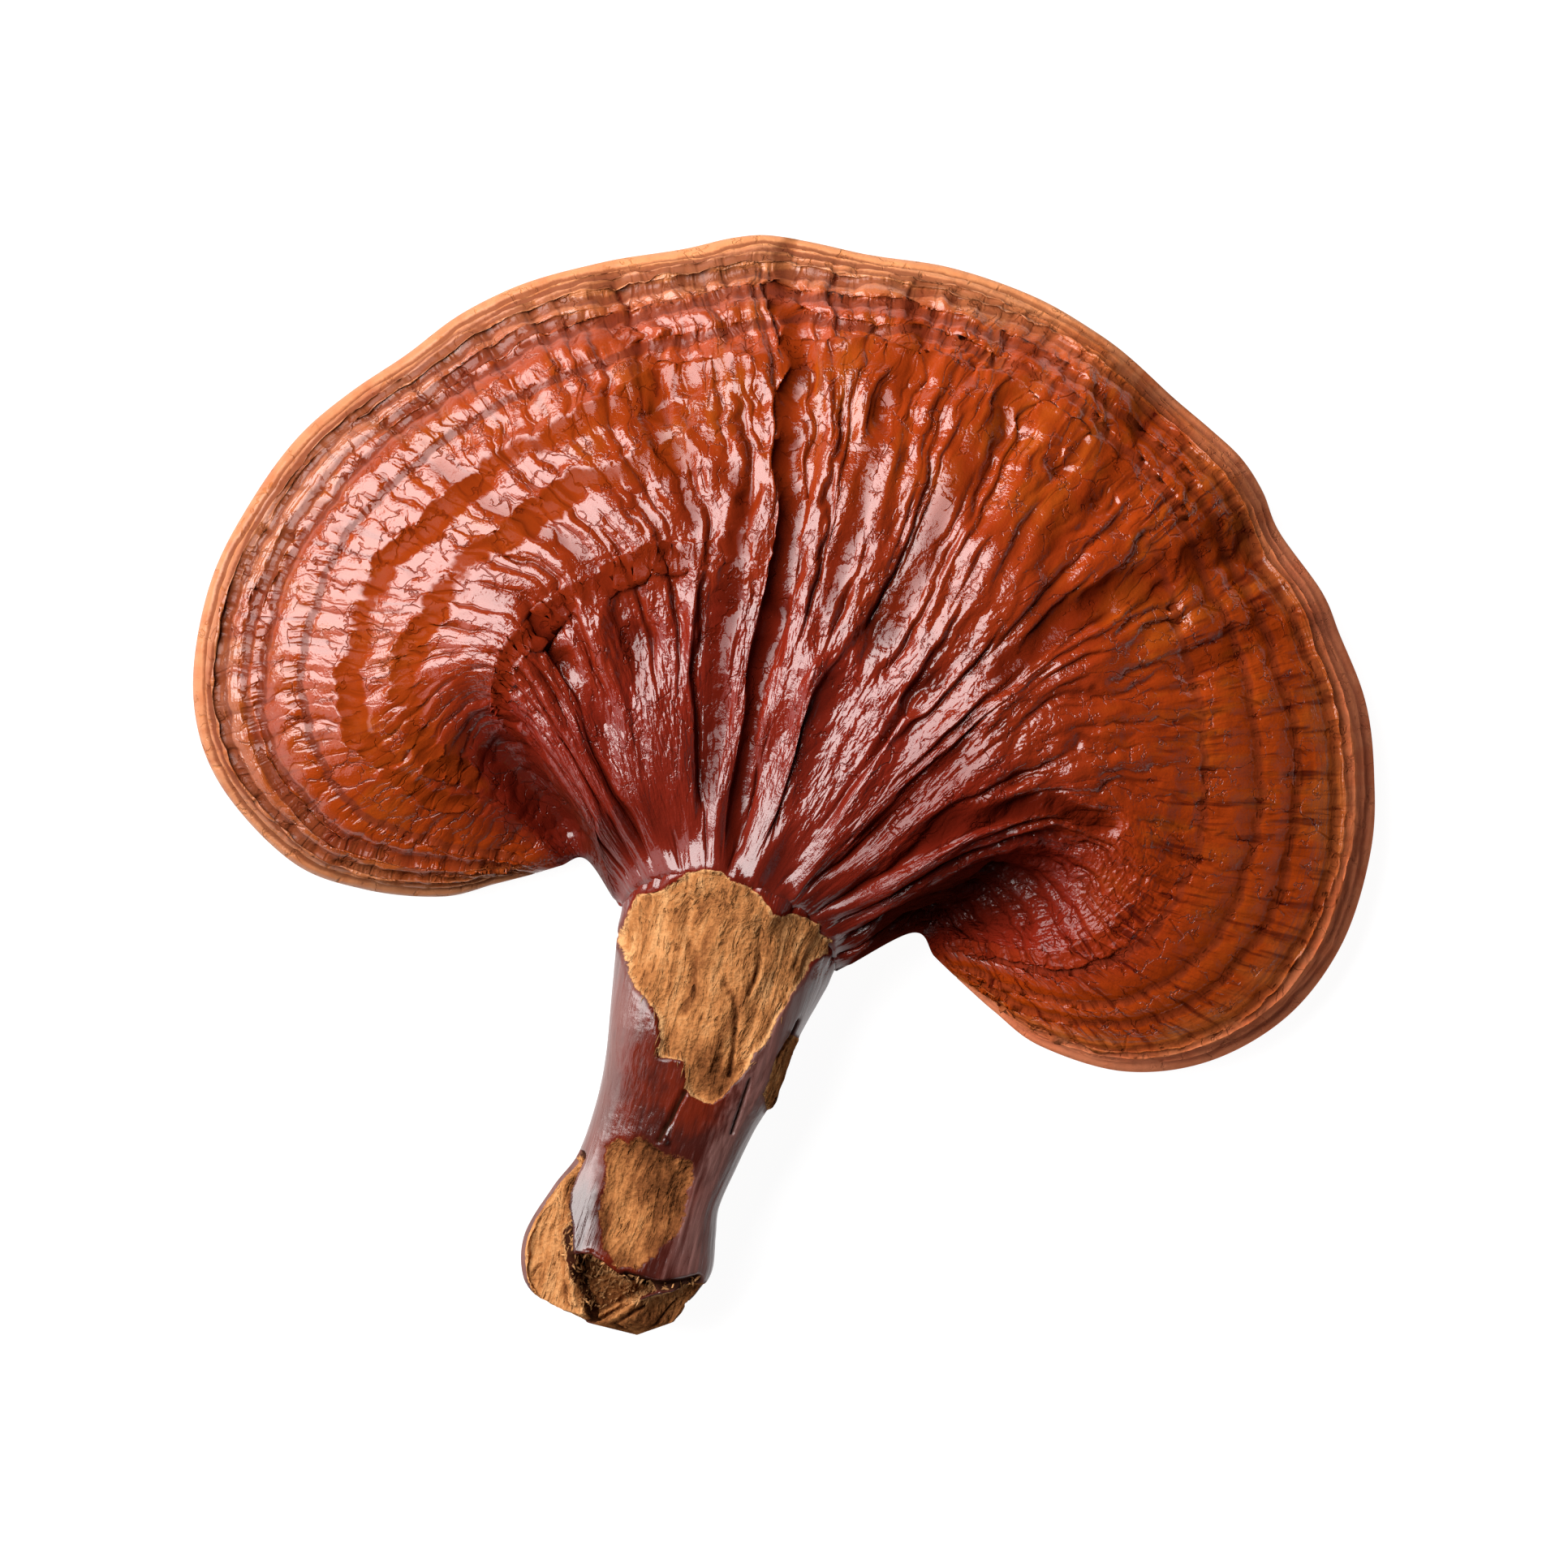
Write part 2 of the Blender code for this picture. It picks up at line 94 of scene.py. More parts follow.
RIM = (
    (0, -32.0, -11.5), (1, -36.7, -12.7), (2, -43.4, -14.3), (3, -53.2, -13.4), (4, -62.6, -9.8),
    (5, -71.7, 0.1), (6, -75.0, 10.8), (7, -73.5, 23.3), (8, -69.0, 33.7), (9, -60.4, 45.4),
    (9.5, -54.6, 50.1), (10, -48.0, 54.5), (10.5, -41.8, 59.2), (11, -35.6, 62.5),
    (12, -23.3, 66.2), (13, -11.9, 68.1), (13.5, -6.8, 69.3), (14, -2.2, 69.7),
    (14.5, 3.5, 68.8), (15, 9.7, 67.4), (16, 21.0, 65.6), (17, 31.3, 62.1), (18, 38.8, 57.9),
    (19, 45.0, 53.2), (19.5, 49.4, 49.1),
    (20, 54.2, 45.0), (20.5, 58.1, 41.3), (21, 60.8, 37.1), (21.5, 62.9, 32.0), (22, 68.3, 24.4),
    (22.5, 70.6, 18.9), (23, 73.4, 12.0), (24, 75.0, -0.4), (25, 74.2, -10.1), (26, 70.6, -20.8),
    (27, 63.8, -29.6), (28, 54.0, -35.2), (29, 43.2, -36.5), (30, 32.6, -33.3), (31, 26.7, -28.9),
    (32, 22.0, -24.7),
)

# Heights of the upper face on those lines: station, z
RIM_MIDDLE = 4.5
INNER_HEIGHT = (
    (0, 7), (1, 9), (2, 14), (3, 20), (5, 26), (9, 28), (16, 29), (21, 29), (25, 25.5), (26, 22.5),
    (27, 18), (28, 13.5), (29, 10.5), (30.5, 8), (32, 7),
)
OUTER_HEIGHT = (
    (0, 8), (1, 10), (2, 14), (4, 18), (7, 20), (14, 21.5), (20, 22.5), (25, 21), (27, 19.5),
    (29, 17), (30, 13), (31, 10), (32, 8),
)
RIM_HEIGHT = (
    (0, 8), (2, 8.5), (8, 9.5), (12, 9), (13, 9.8), (14.2, 8.6), (15.5, 10), (17.5, 9),
    (18.6, 10.5), (19.4, 9), (20.4, 11), (21.4, 9), (22.2, 10.5), (23.2, 9.5), (26, 9.5), (30, 9),
    (32, 8),
)
RIM_ROUND = 3.2
SIDE_ROUND = 4.0
SHOULDER_REACH = 0.6

# Growth furrows: depth, half width in reach, then station and reach along each
GROWTH_FURROWS = (
    (0.8, 0.034, ((3, 0.98), (8, 1.0), (13, 1.02))),
    (0.9, 0.075, ((3, 1.76), (5, 1.70), (7, 1.61), (9, 1.55), (12, 1.56))),
    (0.9, 0.065, ((3, 2.04), (6, 2.03), (9, 1.96), (13, 2.02), (17, 2.10), (19, 2.11))),
    (0.6, 0.060, ((22, 1.90), (25, 1.92), (30, 1.88))),
)
FURROW_UNEVENNESS = 0.35
# Wavering of each furrow, in its half widths: size, rate along the stations, turn between furrows
FURROW_WAVERS = ((0.34, 2.7, 1.3), (0.26, 6.1, 2.9), (0.20, 13.0, 4.1), (0.14, 23.0, 5.3))
# Thin lips of the margin, cut straight into the rounded rim
MARGIN_LIPS = (
    (0.35, 0.024, ((3, 2.69), (7, 2.68), (11, 2.68))),
    (0.45, 0.018, ((0, 2.86), (8, 2.85), (12, 2.87), (16, 2.85), (20, 2.87), (24, 2.86),
                   (32, 2.87))),
    (0.40, 0.015, ((0, 2.92), (8, 2.905), (13, 2.92), (16, 2.90), (24, 2.925), (32, 2.92))),
    (0.50, 0.011, ((0, 2.965), (12, 2.955), (22, 2.97), (32, 2.96))),
)
FURROW_FADE_STATIONS = 1.5

# Steps near the rim, each a tread that rolls over into a steep riser: height, then station and
# reach along the inner edge of each. A step ends where the next begins.
GROWTH_STEPS = (
    (1.2, ((21, 2.02), (23, 2.03), (25, 2.05), (28, 2.05), (31, 2.02))),
    (1.2, ((1, 2.52), (3, 2.46), (5, 2.36), (9, 2.32), (13, 2.31), (17, 2.34), (21, 2.33),
           (24, 2.36), (31, 2.40))),
    (1.2, ((1, 2.68), (3, 2.66), (7, 2.57), (11, 2.59), (16, 2.56), (21, 2.56), (31, 2.60))),
    (1.0, ((1, 2.80), (3, 2.83), (8, 2.81), (11, 2.79), (14, 2.74), (16, 2.76), (21, 2.76),
           (26, 2.80), (31, 2.83))),
)
LAST_STEP_END = 2.93
STEP_LINE_HALF_WIDTH = 0.018
STEP_LINE_DEPTH = 0.16
STEP_WAVERS = ((0.010, 3.1, 1.7), (0.007, 8.3, 2.3), (0.005, 19.0, 3.1))

# Folds along the growth: depth, half width in stations, first and last reach, station at each
RADIAL_FOLDS = (
    (1.1, 0.12, 0.1, 3.0, 14.0, 14.2),
    (1.0, 0.25, 0.3, 1.3, 12.6, 13.1),
    (0.9, 0.30, 1.2, 2.9, 12.1, 12.0),
    (0.9, 0.30, 0.9, 2.8, 15.6, 15.8),
    (0.9, 0.35, 0.9, 2.7, 17.3, 17.5),
    (1.0, 0.35, 1.6, 3.0, 19.2, 19.4),
    (1.5, 0.35, 1.1, 2.7, 20.3, 21.3),
    (1.0, 0.30, 2.1, 3.0, 22.2, 22.3),
    (1.2, 0.35, 0.5, 1.3, 23.4, 25.2),
    (0.6, 0.30, 0.6, 1.3, 8.2, 7.6),
    (0.8, 0.30, 1.1, 2.2, 9.6, 9.4),
)
FOLD_FADE_REACH = 0.25
FOLD_WIDENING = 1.3
FOLD_WIDENING_REACH = 1.2
FOLD_WAVER = 0.07
# The bank that climbs to the right of the first fold, the groove in the middle of the fan. A
# station is wider further out.
STATION_WIDTH_AT_NECK = 1.1
STATION_WIDTH_PER_REACH = 2.95
BANK_DEPTH = 0.95
BANK_WIDTH = 5.0
BANK_FOOT = 0.9
BANK_REACHES = (0.25, 2.7)
LUMP_HEIGHT = 0.3
LUMP_WAVES = ((2.3, 4.0), (-0.9, 5.1))
LUMP_LAST_REACH = 2.6
LUMP_FADE_REACH = 0.6


def smooth(x):
    """Eases from 0 to 1 as x goes from 0 to 1."""
    x = np.clip(x, 0.0, 1.0)
    return x * x * (3.0 - 2.0 * x)


def round_over(x):
    """The height of a quarter circle of radius 1 at x from its foot."""
    return np.sqrt(1.0 - (1.0 - np.clip(x, 0.0, 1.0)) ** 2)


def curve(keys, at):
    """Reads a smooth curve through keys of (place, value, ...) at the places asked for."""
    keys = np.array(keys, float)
    places, values = keys[:, 0], keys[:, 1:]
    slopes = np.gradient(values, places, axis=0)
    at = np.clip(np.asarray(at, float), places[0], places[-1])
    left = np.clip(np.searchsorted(places, at, side="right") - 1, 0, len(places) - 2)
    span = (places[left + 1] - places[left])[..., None]
    t = (at - places[left])[..., None] / span
    start, end = values[left], values[left + 1]
    leave, arrive = slopes[left] * span, slopes[left + 1] * span
    blend = (3.0 - 2.0 * t) * t * t
    bend = t * (1.0 - t) * ((1.0 - t) * leave - t * arrive)
    read = start + (end - start) * blend + bend
    return read[..., 0] if values.shape[1] == 1 else read


def across_lines(lines, reach):
    """Runs a smooth curve outwards through the four growth lines and reads it at every reach."""
    before = 2.0 * lines[0] - lines[1]
    after = 2.0 * lines[3] - lines[2]
    lines = np.stack([before, *lines, after])
    zone = np.clip(np.floor(reach).astype(int), 0, 2)
    t = reach - zone
    if lines.ndim == 3:
        t = t[..., None]
    column = np.arange(reach.shape[1])
    a, b, c, d = (lines[zone + step, column] for step in range(4))
    square = 2.0 * a - 5.0 * b + 4.0 * c - d
    cubic = 3.0 * b - a - 3.0 * c + d
    return 0.5 * (2.0 * b + (c - a) * t + square * t**2 + cubic * t**3)


def window(x, first, last, fade):
    """1 from first to last, easing to 0 over the fade outside each end."""
    return smooth((x - first) / fade + 1.0) * smooth((last - x) / fade + 1.0)


def groove(x):
    """The section of a furrow, with round shoulders on both sides."""
    return 1.0 / (1.0 + x * x)


def ring_frame(left, right):
    """A ring seen from above: middle, half width, and directions across and towards the cap."""
    left, right = np.array(left), np.array(right)
    half = (right - left) / 2.0
    width = np.linalg.norm(half)
    across = half / width
    return left + half, width, across, np.array([-across[1], across[0]])


def neck_plan(angle):
    """Plan points of the neck's oval, which arches towards the cap between its two sides."""
    middle, width, across, inward = ring_frame(NECK_LEFT, NECK_RIGHT)
    spread = width * np.cos(angle)[:, None] * across
    return middle + spread + NECK_ARCH * np.sin(angle)[:, None] * inward


def wavering(waves, station, number):
    """How far the line of a number strays at each station."""
    return sum(size * np.sin(rate * station + turn * number) for size, rate, turn in waves)


def furrow_depth(furrows, reach, station):
    """How deep the growth furrows are at a place, and how far inside one it is."""
    depth_there, inside = np.zeros_like(reach), np.zeros_like(reach)
    for number, (depth, half_width, track) in enumerate(furrows):
        shown = window(station, track[0][0], track[-1][0], FURROW_FADE_STATIONS)
        shown = shown * (1.0 + FURROW_UNEVENNESS * np.sin(1.9 * station + 2.0 * number))
        away = (reach - curve(track, station)) / half_width
        away = away + wavering(FURROW_WAVERS, station, number)
        depth_there += depth * shown * np.exp(-(np.abs(away) ** 2.6))
        inside = np.maximum(inside, shown * np.exp(-(away**2)))
    return depth_there, inside


def growth_steps(reach, station):
    """How high the steps near the rim stand, how far along one a place is, and the edge lines."""
    rise, along, line = (np.zeros_like(reach) for _ in range(3))
    for number, (height, track) in enumerate(GROWTH_STEPS):
        start = curve(track, station) + wavering(STEP_WAVERS, station, number)
        following = GROWTH_STEPS[number + 1:]
        end = curve(following[0][1], station) if following else LAST_STEP_END
        shown = window(station, track[0][0], track[-1][0], FURROW_FADE_STATIONS)
        run = np.clip((reach - start) / (end - start), 0.0, 1.0)
        rise += height * shown * (run - run**3)
        along = np.where((run > 0.0) & (run < 1.0), run * shown, along)
        line = np.maximum(line, shown * np.exp(-(((reach - start) / STEP_LINE_HALF_WIDTH) ** 2)))
    return rise, along, line


def fold_depth(reach, station):
    """How deep the folds and low hollows are at a place, and how far inside a fold it is."""
    drop, inside = np.zeros_like(reach), np.zeros_like(reach)
    widening = 1.0 + FOLD_WIDENING * (1.0 - smooth(reach / FOLD_WIDENING_REACH))
    for number, (depth, half_width, first, last, start, end) in enumerate(RADIAL_FOLDS):
        run = np.clip((reach - first) / (last - first), 0.0, 1.0)
        line = start + (end - start) * run
        line = line + FOLD_WAVER * (np.sin(6.3 * reach + depth) + 0.5 * np.sin(17.0 * reach))
        shown = window(reach, first, last, FOLD_FADE_REACH)
        away = (station - line) / (half_width * widening)
        drop += depth * shown * groove(away)
        inside = np.maximum(inside, depth * shown * np.exp(-(away**2)))
        if number == 0:
            beside = (station - line) * (STATION_WIDTH_AT_NECK + STATION_WIDTH_PER_REACH * reach)
            bank = smooth(beside / BANK_FOOT + 0.6) * np.clip(1.0 - beside / BANK_WIDTH, 0.0, 1.0)
            drop += BANK_DEPTH * bank * window(reach, *BANK_REACHES, FOLD_FADE_REACH)
    one, other = (np.sin(along * station + out * reach) for along, out in LUMP_WAVES)
    fade = smooth((LUMP_LAST_REACH - reach) / LUMP_FADE_REACH)
    return drop + LUMP_HEIGHT * (0.5 + 0.5 * one * other) * fade, inside


def cap_faces(rows, columns):
    """The upper and lower face, distance from the fan's ends, and what marks the upper face."""
    reach, station = np.meshgrid(rows, columns, indexing="ij")
    angle = math.pi * (1.0 - columns / STATIONS)
    lines = [curve(line, columns) for line in (INNER_LINE, OUTER_LINE, RIM)]
    plan = across_lines([neck_plan(angle), *lines], reach)

    every = np.ones(len(columns))
    heights = [curve(line, columns) for line in (INNER_HEIGHT, OUTER_HEIGHT, RIM_HEIGHT)]
    crown = across_lines([(NECK_HEIGHT + NECK_HALF_HEIGHT) * every, *heights], reach)
    edge = across_lines([NECK_HEIGHT * every, *[RIM_MIDDLE * every] * 3], reach)
    edge = np.maximum(edge, RIM_MIDDLE)
    floor = (NECK_HEIGHT - NECK_HALF_HEIGHT) * (1.0 - smooth(reach / SHOULDER_REACH))
    left, right = (np.linalg.norm(plan - plan[:, [end]], axis=-1) for end in (0, -1))
    from_end = np.minimum(left, right)
    radius = SIDE_ROUND + (NECK_HALF_WIDTH - SIDE_ROUND) * (1.0 - smooth(reach))
    side = round_over(from_end / radius)
    side += (np.sin(angle) - side) * (1.0 - smooth(reach / NECK_BLEND_REACH))
    rim = round_over(np.linalg.norm(plan - lines[2], axis=-1) / RIM_ROUND)

    off_neck = smooth(reach / NECK_BLEND_REACH)
    furrows, in_furrow = furrow_depth(GROWTH_FURROWS, reach, station)
    folds, in_fold = fold_depth(reach, station)
    steps, along_step, step_line = growth_steps(reach, station)
    drop = (furrows + folds) * off_neck - steps + STEP_LINE_DEPTH * step_line
    upper_z = edge + (crown - drop - edge) * side
    lower_z = edge + (floor - edge) * side
    upper_z = RIM_MIDDLE + (upper_z - RIM_MIDDLE) * rim
    lower_z = RIM_MIDDLE + (lower_z - RIM_MIDDLE) * rim
    marks = {"furrow": in_furrow, "fold": in_fold, "step": along_step, "line": step_line}
    return np.dstack([plan, upper_z]), np.dstack([plan, lower_z]), from_end, marks


def cap_rows():
    """Reach of each row of the upper face, closing up towards the rim."""
    inner, middle, outer = CAP_ROWS_PER_ZONE
    last = RIM_REACH - (1.0 - np.arange(outer + 1) / outer) ** RIM_ROW_CLOSING
    return np.concatenate([np.arange(inner) / inner, 1.0 + np.arange(middle) / middle, last])


# Patches where the crust has come away and the wood is bare, seen from above: x, y. The first
# reaches a little past the neck, onto the cap.
UPPER_PATCH_RECESS = 0.45
UPPER_PATCH = (
    (-18.8, -13.5), (-16.9, -13.5), (-15.7, -13.2), (-14.3, -12.3), (-12.4, -11.0), (-10.0, -10.5),
    (-7.9, -10.9), (-6.5, -11.8), (-4.4, -12.7), (-2.8, -14.0), (-1.7, -15.3), (-1.3, -16.4),
    (-0.1, -16.6), (1.3, -16.2), (3.3, -16.8), (4.6, -17.7), (5.1, -18.7), (6.3, -19.8),
    (6.2, -21.6), (5.2, -21.5), (3.9, -22.4), (2.2, -24.8), (0.8, -26.9), (-0.8, -29.6),
    (-1.7, -31.7),
    (-3.6, -33.8), (-4.2, -35.2), (-5.5, -36.8), (-6.5, -37.8), (-7.6, -39.3), (-8.9, -40.0),
    (-10.2, -39.8), (-11.6, -38.9), (-12.6, -38.1), (-12.4, -36.8), (-12.6, -34.5), (-14.3, -34.3),
    (-15.6, -34.1), (-16.0, -33.7), (-15.6, -32.0), (-15.9, -29.1), (-16.9, -27.6), (-18.1, -26.1),
    (-19.5, -24.5), (-19.9, -22.4), (-21.0, -20.4), (-21.2, -19.1), (-20.3, -17.0), (-19.5, -15.2),
)


# Ridges of the neck: height, half width, then x and y along each
NECK_RIDGES = (
    (1.5, 5.0, ((-20.0, -14.5), (-14.0, -11.8), (-8.0, -11.5), (-2.0, -15.5))),
    (1.3, 3.4, ((-4.4, -12.5), (-1.0, -3.0), (1.8, 6.0), (4.0, 14.0))),
    (0.8, 2.6, ((2.0, -14.0), (6.0, -6.0), (10.0, 1.0), (15.0, 8.0))),
)


def line_distance(line, points):
    """Distance from a chain of points seen from above."""
    x, y = points[..., 0], points[..., 1]
    nearest = np.full(x.shape, np.inf)
    for (ax, ay), (bx, by) in zip(line, line[1:]):
        t = ((x - ax) * (bx - ax) + (y - ay) * (by - ay)) / ((bx - ax) ** 2 + (by - ay) ** 2)
        t = np.clip(t, 0.0, 1.0)
        nearest = np.minimum(nearest, np.hypot(x - ax - t * (bx - ax), y - ay - t * (by - ay)))
    return nearest


def neck_ridges(points):
    """How much the ridges of the neck raise the upper side at a place."""
    heights = [h * smooth(1.0 - line_distance(line, points) / w) for h, w, line in NECK_RIDGES]
    return np.max(heights, axis=0)


def signed_distance(outline, points):
    """Distance from a closed outline seen from above, positive inside it."""
    closed = (*outline, outline[0])
    nearest = line_distance(closed, points)
    x, y = points[..., 0], points[..., 1]
    inside = np.zeros(x.shape, bool)
    for (ax, ay), (bx, by) in zip(closed, closed[1:]):
        if ay != by:
            inside ^= ((ay > y) != (by > y)) & (x < ax + (y - ay) * (bx - ax) / (by - ay))
    return np.where(inside, nearest, -nearest)


def put_in_scene(name, data):
    piece = bpy.data.objects.new(name, data)
    bpy.context.scene.collection.objects.link(piece)
    return piece


UNMARKED = {"furrow": 0.0, "fold": 0.0, "step": 0.0, "line": 0.0, "frayed": 0.0, "crumbly": 0.0}
VECTORS = ("growth", "facing")


class Mesh:
    """Gathers the points of a piece, with what is known at each point, and its faces."""

    def __init__(self):
        self.shape = bmesh.new()
        names = (*VECTORS, "relief", "bare", "tone", "recess", *UNMARKED)
        self.known = {name: [] for name in names}

    def grid(self, points, wrap=False, slot=0, **known):
        """Adds a grid of points and its faces, and returns its vertices by row."""
        rows = [[self.shape.verts.new(point * MM) for point in row] for row in points]
        for name, values in self.known.items():
            width = 3 if name in VECTORS else 1
            values.append(np.broadcast_to(known[name], (*points.shape[:2], width)).reshape(-1))
        for lower, upper in zip(rows, rows[1:]):
            for left in range(len(lower) if wrap else len(lower) - 1):
                right = (left + 1) % len(lower)
                face = self.shape.faces.new((lower[left], lower[right], upper[right], upper[left]))
                face.material_index = slot
        return rows

    def zip_up(self, first, second, slot=0):
        """Joins two chains of (place, vertex) with triangles, along whichever is behind."""
        i, j = 0, 0
        while i < len(first) - 1 or j < len(second) - 1:
            more = i < len(first) - 1
            step = j == len(second) - 1 or (more and first[i + 1][0] <= second[j + 1][0])
            third = first[i + 1][1] if step else second[j + 1][1]
            self.shape.faces.new((first[i][1], second[j][1], third)).material_index = slot
            i, j = (i + 1, j) if step else (i, j + 1)

    def fan(self, ring, centre, **known):
        """Closes a ring of vertices with triangles to one middle point."""
        tip = self.shape.verts.new(np.array(centre) * MM)
        for name, values in self.known.items():
            values.append(np.broadcast_to(known.get(name, 0.0), (3 if name in VECTORS else 1,)))
        for first, second in zip(ring, ring[1:] + ring[:1]):
            self.shape.faces.new((first, second, tip))

    def finish(self, name, materials):
        """Turns the faces outwards, and puts the piece and what is known of it in the scene."""
        bmesh.ops.recalc_face_normals(self.shape, faces=self.shape.faces)
        data = bpy.data.meshes.new(name)
        self.shape.to_mesh(data)
        self.shape.free()
        for known, values in self.known.items():
            kind, field = ("FLOAT_VECTOR", "vector") if known in VECTORS else ("FLOAT", "value")
            layer = data.attributes.new(known, kind, "POINT")
            layer.data.foreach_set(field, np.concatenate(values).astype(np.float32))
        for material in materials:
            data.materials.append(material)
        data.shade_smooth()
        return put_in_scene(name, data)


class Wire:
    """A socket of a node tree. Operators on it add Math nodes, and node() adds any other node."""

    def __init__(self, tree, socket=None):
        self.tree = tree
        self.socket = socket

    def node(self, kind, sockets=(), output=0, **settings):
        """Adds a node: its settings first, then the value or link of each socket."""
        node = self.tree.nodes.new(kind)
        stops = settings.pop("stops", ())
        for name, value in settings.items():
            setattr(node, name, value)
        if stops:
            ramp = node.color_ramp.elements
            ramp.remove(ramp[-1])
            for place, colour in stops[1:]:
                ramp.new(place).color = (*colour, 1.0)
            ramp[0].color = (*stops[0][1], 1.0)
        for place, value in dict(sockets).items():
            if isinstance(value, Wire):
                self.tree.links.new(value.socket, node.inputs[place])
            else:
                node.inputs[place].default_value = value
        return Wire(self.tree, node.outputs[output])

    def math(self, operation, *values):
        return self.node("ShaderNodeMath", enumerate(values), operation=operation)

    def __add__(self, other):
        return self.math("ADD", self, other)

    def __sub__(self, other):
        return self.math("SUBTRACT", self, other)

    def __rsub__(self, other):
        return self.math("SUBTRACT", other, self)

    def __mul__(self, other):
        return self.math("MULTIPLY", self, other)

    def __abs__(self):
        return self.math("ABSOLUTE", self)

    __radd__ = __add__
    __rmul__ = __mul__

    def ease(self, low, high):
        """Eases from 0 at low to 1 at high."""
        sockets = {"Value": self, "From Min": low, "From Max": high}
        return self.node("ShaderNodeMapRange", sockets, interpolation_type="SMOOTHSTEP")

    def between(self, begin, full, end, ended):
        """Eases from 0 at begin to 1 at full, and from 1 at end to 0 at ended."""
        return self.ease(begin, full) * (1 - self.ease(end, ended))

    def scaled(self, by):
        """A vector made longer or shorter."""
        return self.node("ShaderNodeVectorMath", {0: self, "Scale": by}, operation="SCALE")

    def parts(self):
        """The x, y and z of a vector."""
        split = self.node("ShaderNodeSeparateXYZ", {0: self})
        return [Wire(self.tree, socket) for socket in split.socket.node.outputs]

    def noise(self, *at, detail=1.0):
        """Smooth noise from -0.5 to 0.5 at a place given by up to three numbers."""
        place = self.node("ShaderNodeCombineXYZ", enumerate(at))
        sockets = {"Vector": place, "Scale": 1.0, "Detail": detail}
        return self.node("ShaderNodeTexNoise", sockets) - 0.5

    def mix(self, first, second):
        """Goes from the first colour at 0 to the second at 1."""
        sockets = {0: self, 6: first, 7: second}
        return self.node("ShaderNodeMix", sockets, output=2, data_type="RGBA")


# The crust's own relief: wrinkles across the furrows, swells, lumps by the neck, and the step
# down to bare wood, whose grain runs along the stem.
STEM_ALONG = (-0.287, -0.958)
CRUST_RELIEF = {
    "Rib depth": 2.2,
    "Ripple depth": 1.0,
    "Crease depth": 0.95,
    "Crinkle depth": 0.8,
    "Grain depth": 0.9,
    "Lump of wood depth": 2.0,
    "Crumb depth": 3.0,
    "Ragged edge": 0.8,
}
# Creases run out along the growth, and more of them start further out: how many there are in a
# station, the reach where they begin, are full, begin to end and have ended, how deep they are
# against the crease depth, and whether the two sides of the fan have them too
CREASE_RUNS = (
    (0.45, -0.02, 0.10, 0.80, 1.20, 1.7, True),
    (1.10, 0.45, 0.80, 1.50, 2.00, 1.3, True),
    (1.10, 1.50, 2.00, 2.60, 2.85, 1.2, False),
    (2.20, 0.90, 1.40, 2.85, 2.97, 0.9, True),
    (4.10, 1.50, 2.00, 2.85, 2.97, 0.6, True),
)


def crust_fields(growth):
    """Place, ribs, ripples, and how far into a crease a place on the crust is."""
    station, reach, _ = growth.parts()
    bend = growth.noise(station * 0.5, reach * 1.4, 3.0)
    jitter = growth.noise(station * 1.9, reach * 6.0, 5.0)
    middle, outer = reach.ease(0.25, 0.8), reach.ease(0.8, 1.5)
    sides = 1 - station.ease(9.0, 12.5) + station.ease(21.0, 24.0)
    neck_rib = growth.noise(station * 0.36 + bend * 0.6, reach * 1.2, 8.0) * 1.6
    inner_rib = growth.noise(station * 0.62 + bend, reach * 2.6, 11.0, detail=2.0) * 1.2
    outer_rib = growth.noise(station * 0.95 + bend * 2.0, reach * 0.6, 17.0) * 0.5
    rib = neck_rib + middle * (inner_rib - neck_rib)
    rib = rib + outer * (outer_rib * (1 - 0.65 * sides) - rib)
    inner_ripple = growth.noise(station * 1.2 + bend * 2.0, reach * 6.0, 23.0, detail=2.0) * 0.75
    outer_ripple = growth.noise(station * 3.2 + bend * 3.0, reach * 1.5, 29.0, detail=2.0) * 0.55
    ripple = inner_ripple * middle + outer * (outer_ripple * (1 - 0.55 * sides) - inner_ripple)
    lump = growth.noise(station * 2.6, reach * 9.0, 71.0, detail=2.0)
    ripple = ripple + lump * (0.3 * reach.ease(2.1, 2.4) + 0.4 * reach.ease(2.6, 2.8))
    skew = (1 - sides) * reach.ease(0.1, 0.6)
    near, wide = 0.0, 0.0
    for number, (count, begin, full, end, ended, weight, at_sides) in enumerate(CREASE_RUNS):
        turn = station * count + bend * (0.8 + 0.5 * count) + jitter * (0.25 + 0.22 * count)
        away = abs(turn.math("FRACT", turn) - 0.5)
        shown = growth.noise(station * count * 0.7, reach * 1.9, 37.0 + number).ease(-0.14, 0.08)
        shown = shown * reach.ease(begin, full) * (1 - reach.ease(end, ended))
        if not at_sides:
            shown = shown * (1 - sides)
        near = near + (1 - away.ease(0.0, 0.11)) * shown * (weight * 0.5)
        lobe = 1 - away * 2.0
        lobe = lobe * lobe
        run = (turn + 0.5).math("FRACT", turn + 0.5)
        flank = 1 - run + run.ease(0.84, 1.0)
        wide = wide + (lobe + skew * (flank - lobe)) * (1 - 0.5 * outer * sides) * shown * weight
    smoother = 0.5 * (1 - station.ease(4.5, 8.5)) * (1 - reach.ease(1.2, 1.9))
    smoother = smoother + 0.55 * station.ease(16.5, 18.5) * reach.ease(1.9, 2.3)
    left_treads = (1 - station.ease(8.0, 11.0)) * reach.ease(1.3, 1.8)
    left_treads = left_treads * (1 - reach.ease(2.75, 2.85))
    smoother = smoother + 0.4 * left_treads
    near, wide, rib = (each * (1 - smoother) for each in (near, wide, rib))
    return station, reach, rib, ripple, near, wide


